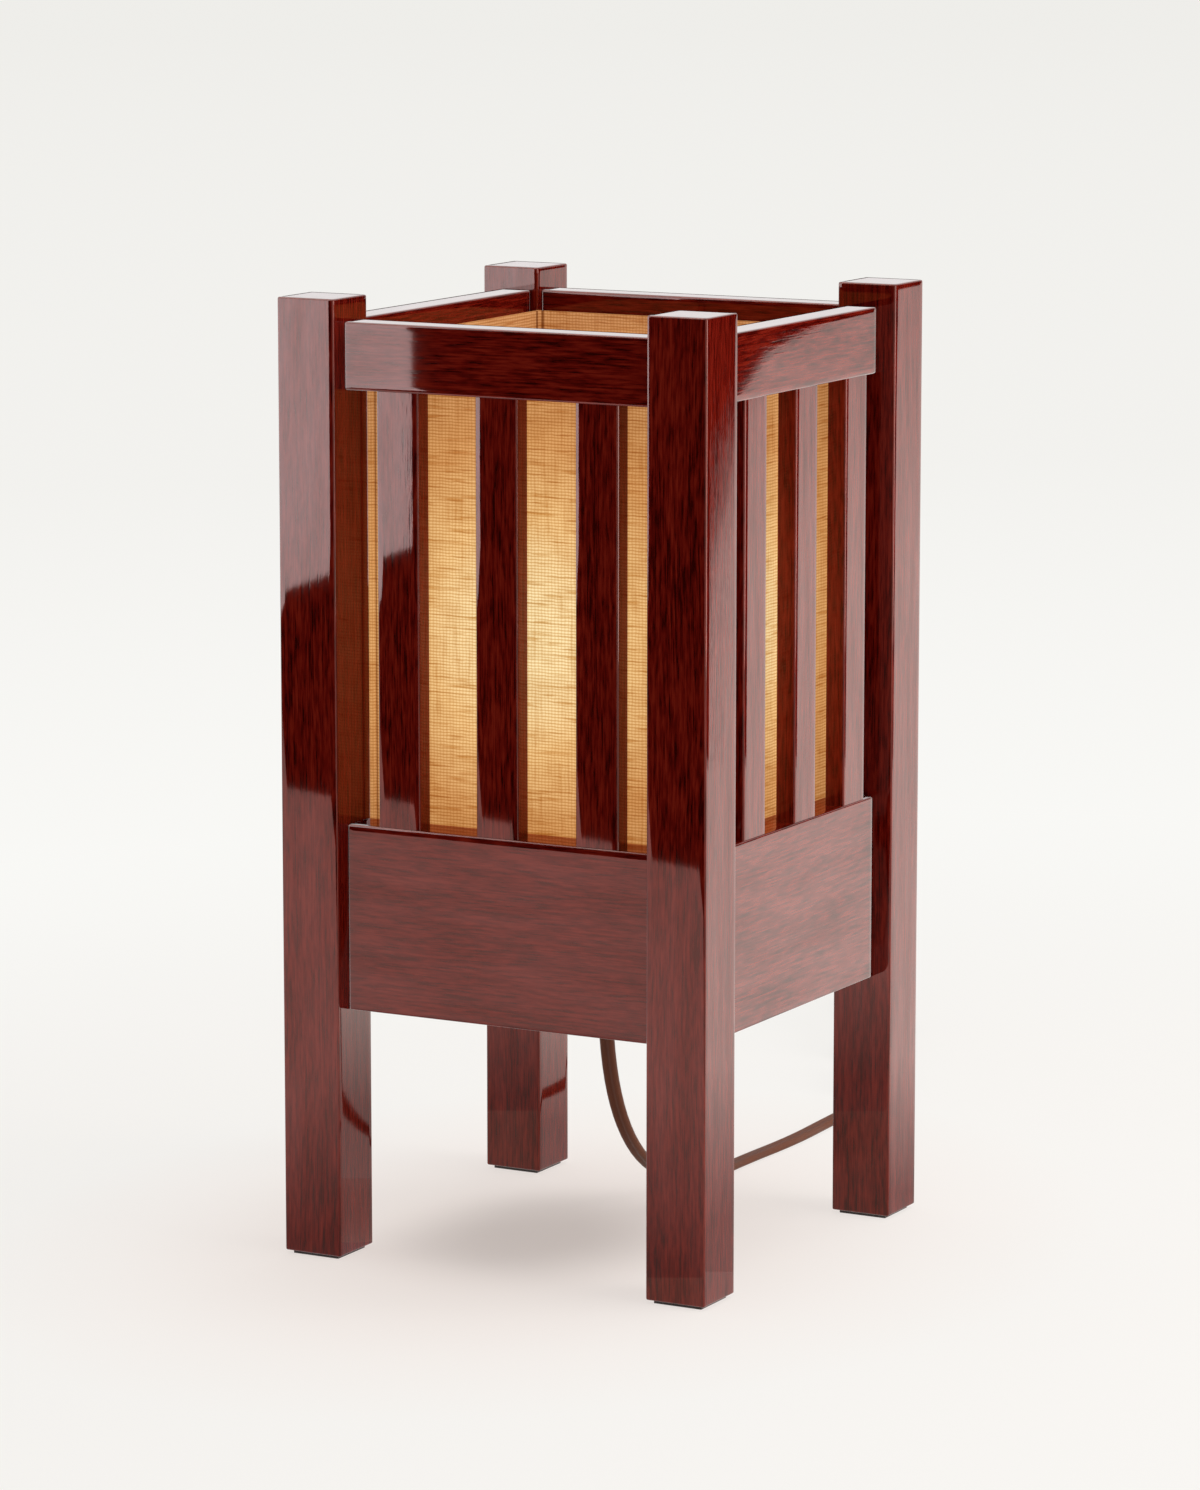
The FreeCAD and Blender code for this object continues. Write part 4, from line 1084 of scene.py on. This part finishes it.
def card(name, heading, outline, strength=0.0, tint=WHITE, glossy_only=True, near_share=1.0, high_share=1.0):
    """A card or panel round the object; its outline is in metres to the right, away along a heading, and up.

    Two shares say how much of its strength it has near the lamp and high up.
    """
    turn = Matrix.Rotation(-math.radians(heading), 3, "Z")
    bm = bmesh.new()
    bm.faces.new([bm.verts.new(turn @ Vector(point)) for point in outline])
    made = add_object(name, to_mesh(bm, name))
    material = bpy.data.materials.new(name)
    tree = bare_tree(material)
    level = spread(tree, ground_distance(tree), *CARD_NEAR, near_share * strength, strength)
    height = split(tree, object_place(tree))["Z"]
    level = calc(tree, "MULTIPLY", level, spread(tree, height, *CARD_HIGH, 1.0, high_share))
    light = node(tree, "ShaderNodeEmission", {"Color": tint, "Strength": level})
    node(tree, "ShaderNodeOutputMaterial", {0: light.outputs[0]})
    made.data.materials.append(material)
    made.visible_camera = False
    made.visible_transmission = False
    made.visible_shadow = False
    made.visible_diffuse = not glossy_only


def ground_distance(tree, middle=(0.0, 0.0, 0.0), deep=1.0):
    """How far a point lies from a middle, along the ground; a deep round is longer along Y than along X."""
    off = vector_calc(tree, "SUBTRACT", {0: object_place(tree), 1: middle})
    flat = scaled(tree, off, (1.0, 1.0 / deep, 0.0))
    return vector_calc(tree, "LENGTH", {0: flat}, "Value")


# The shadow is darkest a little to the front left of the lamp's middle, and clears in steps from there

SHADOW_MIDDLE = (-0.018, -0.022, 0.0)
SHADOW_DEEP = 1.3
SHADOW_CLEAR = 0.33
SHADOW_STEPS = ((0.012, 0.080, 0.39), (0.07, 0.17, 0.11), (0.25, 0.80, 0.17))
FLOOR_BANDS = ((0.06, 0.22), (0.8, 2.2), (2.2, 9.0))
FLOOR_RADIUS = 30.0


def floor_material(settings):
    """A matt floor that keeps shadows near the lamp, with a painted warm shadow tint under it, and fades into
    the background further out.
    """
    material = bpy.data.materials.new("studio_floor")
    tree = bare_tree(material)
    far = ground_distance(tree, SHADOW_MIDDLE, SHADOW_DEEP)
    share = SHADOW_CLEAR
    for start, stop, gain in SHADOW_STEPS:
        risen = spread(tree, far, start, stop, kind="SMOOTHSTEP")
        share = calc(tree, "MULTIPLY_ADD", risen, gain, share)
    # The floor's glow starts warm under the lamp as a painted warm shadow, and passes into the even floor and
    # backdrop further out.
    pale = settings.painted_warm_shadow
    for band, tone in zip(FLOOR_BANDS, (settings.floor_glow, settings.backdrop, settings.far_floor)):
        pale = blended(tree, spread(tree, far, *band), pale, tone)
    near = node(tree, "ShaderNodeBsdfDiffuse", {"Color": settings.floor})
    glow = node(tree, "ShaderNodeEmission", {"Color": pale, "Strength": 1.0})
    both = node(tree, "ShaderNodeMixShader", {0: share, 1: near.outputs[0], 2: glow.outputs[0]})
    node(tree, "ShaderNodeOutputMaterial", {0: both.outputs[0]})
    return material


def studio_world(settings):
    """A pale background to look at and mirror, with a lower even light."""
    world = bpy.data.worlds.new("studio")
    tree = bare_tree(world)
    rays = tree.nodes.new("ShaderNodeLightPath").outputs
    seen = rays["Is Camera Ray"]
    for kind in ("Is Glossy Ray", "Is Transmission Ray"):
        seen = calc(tree, "MAXIMUM", seen, rays[kind])
    even = node(tree, "ShaderNodeBackground", {"Color": WHITE, "Strength": settings.ambient})
    pale = node(tree, "ShaderNodeBackground", {"Color": settings.backdrop, "Strength": 1.0})
    both = node(tree, "ShaderNodeMixShader", {0: seen, 1: even.outputs[0], 2: pale.outputs[0]})
    node(tree, "ShaderNodeOutputWorld", {0: both.outputs[0]})
    bpy.context.scene.world = world


def upright(distance, left, right, low, high):
    """An upright card's four corners."""
    return [(left, distance, low), (right, distance, low), (right, distance, high), (left, distance, high)]


def lying(height, left, right, near, far):
    """A lying card's four corners."""
    return [(left, near, height), (right, near, height), (right, far, height), (left, far, height)]


def studio_cards(settings):
    """The soft lights, and the cards that only the gloss of the lacquer shows."""
    overhead = lying(1.9, -0.8, 0.8, -0.45, 1.15)
    card("overhead_light", 30.0, overhead, settings.overhead, glossy_only=False)
    fill = upright(1.35, -0.55, 0.55, 0.05, 1.15)
    card("right_fill", 82.0, fill, settings.right_fill, glossy_only=False)
    on_floor = 0.6 * MM
    toward = 208.0
    border = [(0.03, 0.172), (0.11, 0.143), (0.70, 0.105), (0.70, 0.95), (0.03, 0.95)]
    panel = [(x, 1.0, z) for x, z in border]
    card("left_panel", toward, panel, settings.left_panel, tint=(0.78, 1.0, 1.13))
    card("edge_panel", 262.0, upright(1.3, -0.75, 0.75, 0.10, 1.1), settings.edge_panel)
    border = [(-0.5, 0.09), (0.6, 0.09), (0.6, 1.74), (0.03, 1.14), (-0.12, 0.98), (-0.5, 0.57)]
    ground = [(x, y, on_floor) for x, y in border]
    card("left_floor", toward, ground, settings.left_floor, tint=(1.15, 1.0, 1.02), near_share=0.35)
    card("edge_light", 250.0, lying(1.5, -0.35, 0.35, 0.4, 1.3), settings.edge_light)
    card("left_floor_dark", toward, lying(on_floor / 2, -0.8, 0.9, 0.40, 2.2))
    card("left_dark", toward, upright(2.2, -0.9, 1.0, 0.0, 1.3))
    away = 28.0
    border = [(0.125, 0.0), (0.113, 0.131), (0.105, 0.165), (0.099, 0.197), (0.081, 0.228)]
    border += [(0.066, 0.252), (0.031, 0.271), (0.012, 0.300), (-0.03, 0.345), (-0.55, 0.36), (-0.55, 0.0)]
    cool = (0.93, 0.94, 0.90)
    board = [(x, 1.2, z) for x, z in border]
    card("right_white", away, board, settings.right_white, tint=cool, high_share=0.72)
    ground = lying(on_floor, -0.5, 0.35, 0.02, 1.2)
    card("right_floor", away, ground, settings.right_white, tint=cool, near_share=0.35)
    card("right_dark", away, upright(1.24, -0.10, 0.60, 0.0, 0.9))
    behind = -28.0
    card("top_white", behind, upright(1.5, -0.6, 0.6, 0.42, 1.3), settings.top_white)
    card("back_dark", behind, upright(1.45, -0.6, 0.6, 0.0, 0.48))


class LANTERN_OT_stage(bpy.types.Operator):
    """Make the floor, the studio light and the camera"""

    bl_idname = "lantern.stage"
    bl_label = "Stage"

    def execute(self, context):
        settings = context.scene.lantern_stage
        studio_world(settings)
        bm = bmesh.new()
        bmesh.ops.create_circle(bm, cap_ends=True, segments=96, radius=FLOOR_RADIUS)
        floor = add_object("studio_floor", to_mesh(bm, "studio_floor"))
        floor.data.materials.append(floor_material(settings))
        studio_cards(settings)
        camera_data = bpy.data.cameras.new("camera")
        camera_data.lens = settings.lens
        camera_data.sensor_width = 36.0
        camera_data.clip_start = 0.05
        camera_data.clip_end = 2 * FLOOR_RADIUS
        camera = add_object("camera", camera_data)
        place = Vector(settings.camera_place)
        camera.location = place
        camera.rotation_euler = (Vector(settings.camera_aim) - place).to_track_quat("-Z", "Y").to_euler()
        context.scene.camera = camera
        context.scene.view_settings.view_transform = "Standard"
        return {"FINISHED"}


class LANTERN_PT_panel(bpy.types.Panel):
    """Lists the lamp's pieces"""

    bl_idname = "LANTERN_PT_panel"
    bl_label = "Lantern Table Lamp"
    bl_space_type = "VIEW_3D"
    bl_region_type = "UI"
    bl_category = "Lantern"

    def draw(self, context):
        for operator in OPERATORS:
            self.layout.operator(operator.bl_idname)


SETTINGS = {
    "lantern_wood": LanternWood,
    "lantern_linen": LanternLinen,
    "lantern_bulb": LanternBulb,
    "lantern_flex": LanternFlex,
    "lantern_stage": LanternStage,
}
OPERATORS = (
    LANTERN_OT_stage,
    LANTERN_OT_flex,
    LANTERN_OT_wood,
    LANTERN_OT_shade,
    LANTERN_OT_bulb,
    LANTERN_OT_holder,
    LANTERN_OT_fittings,
)


def register():
    for group in SETTINGS.values():
        bpy.utils.register_class(group)
    for name, group in SETTINGS.items():
        setattr(bpy.types.Scene, name, PointerProperty(type=group))
    for operator in OPERATORS:
        bpy.utils.register_class(operator)
    bpy.utils.register_class(LANTERN_PT_panel)


def unregister():
    bpy.utils.unregister_class(LANTERN_PT_panel)
    for operator in reversed(OPERATORS):
        bpy.utils.unregister_class(operator)
    for name, group in SETTINGS.items():
        delattr(bpy.types.Scene, name)
        bpy.utils.unregister_class(group)


def main():
    """Registers the add-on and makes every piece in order."""
    register()
    bpy.ops.lantern.stage()
    bpy.ops.lantern.flex()
    bpy.ops.lantern.wood()
    bpy.ops.lantern.shade()
    bpy.ops.lantern.bulb()
    bpy.ops.lantern.holder()
    bpy.ops.lantern.fittings()


if __name__ == "__main__":
    main()
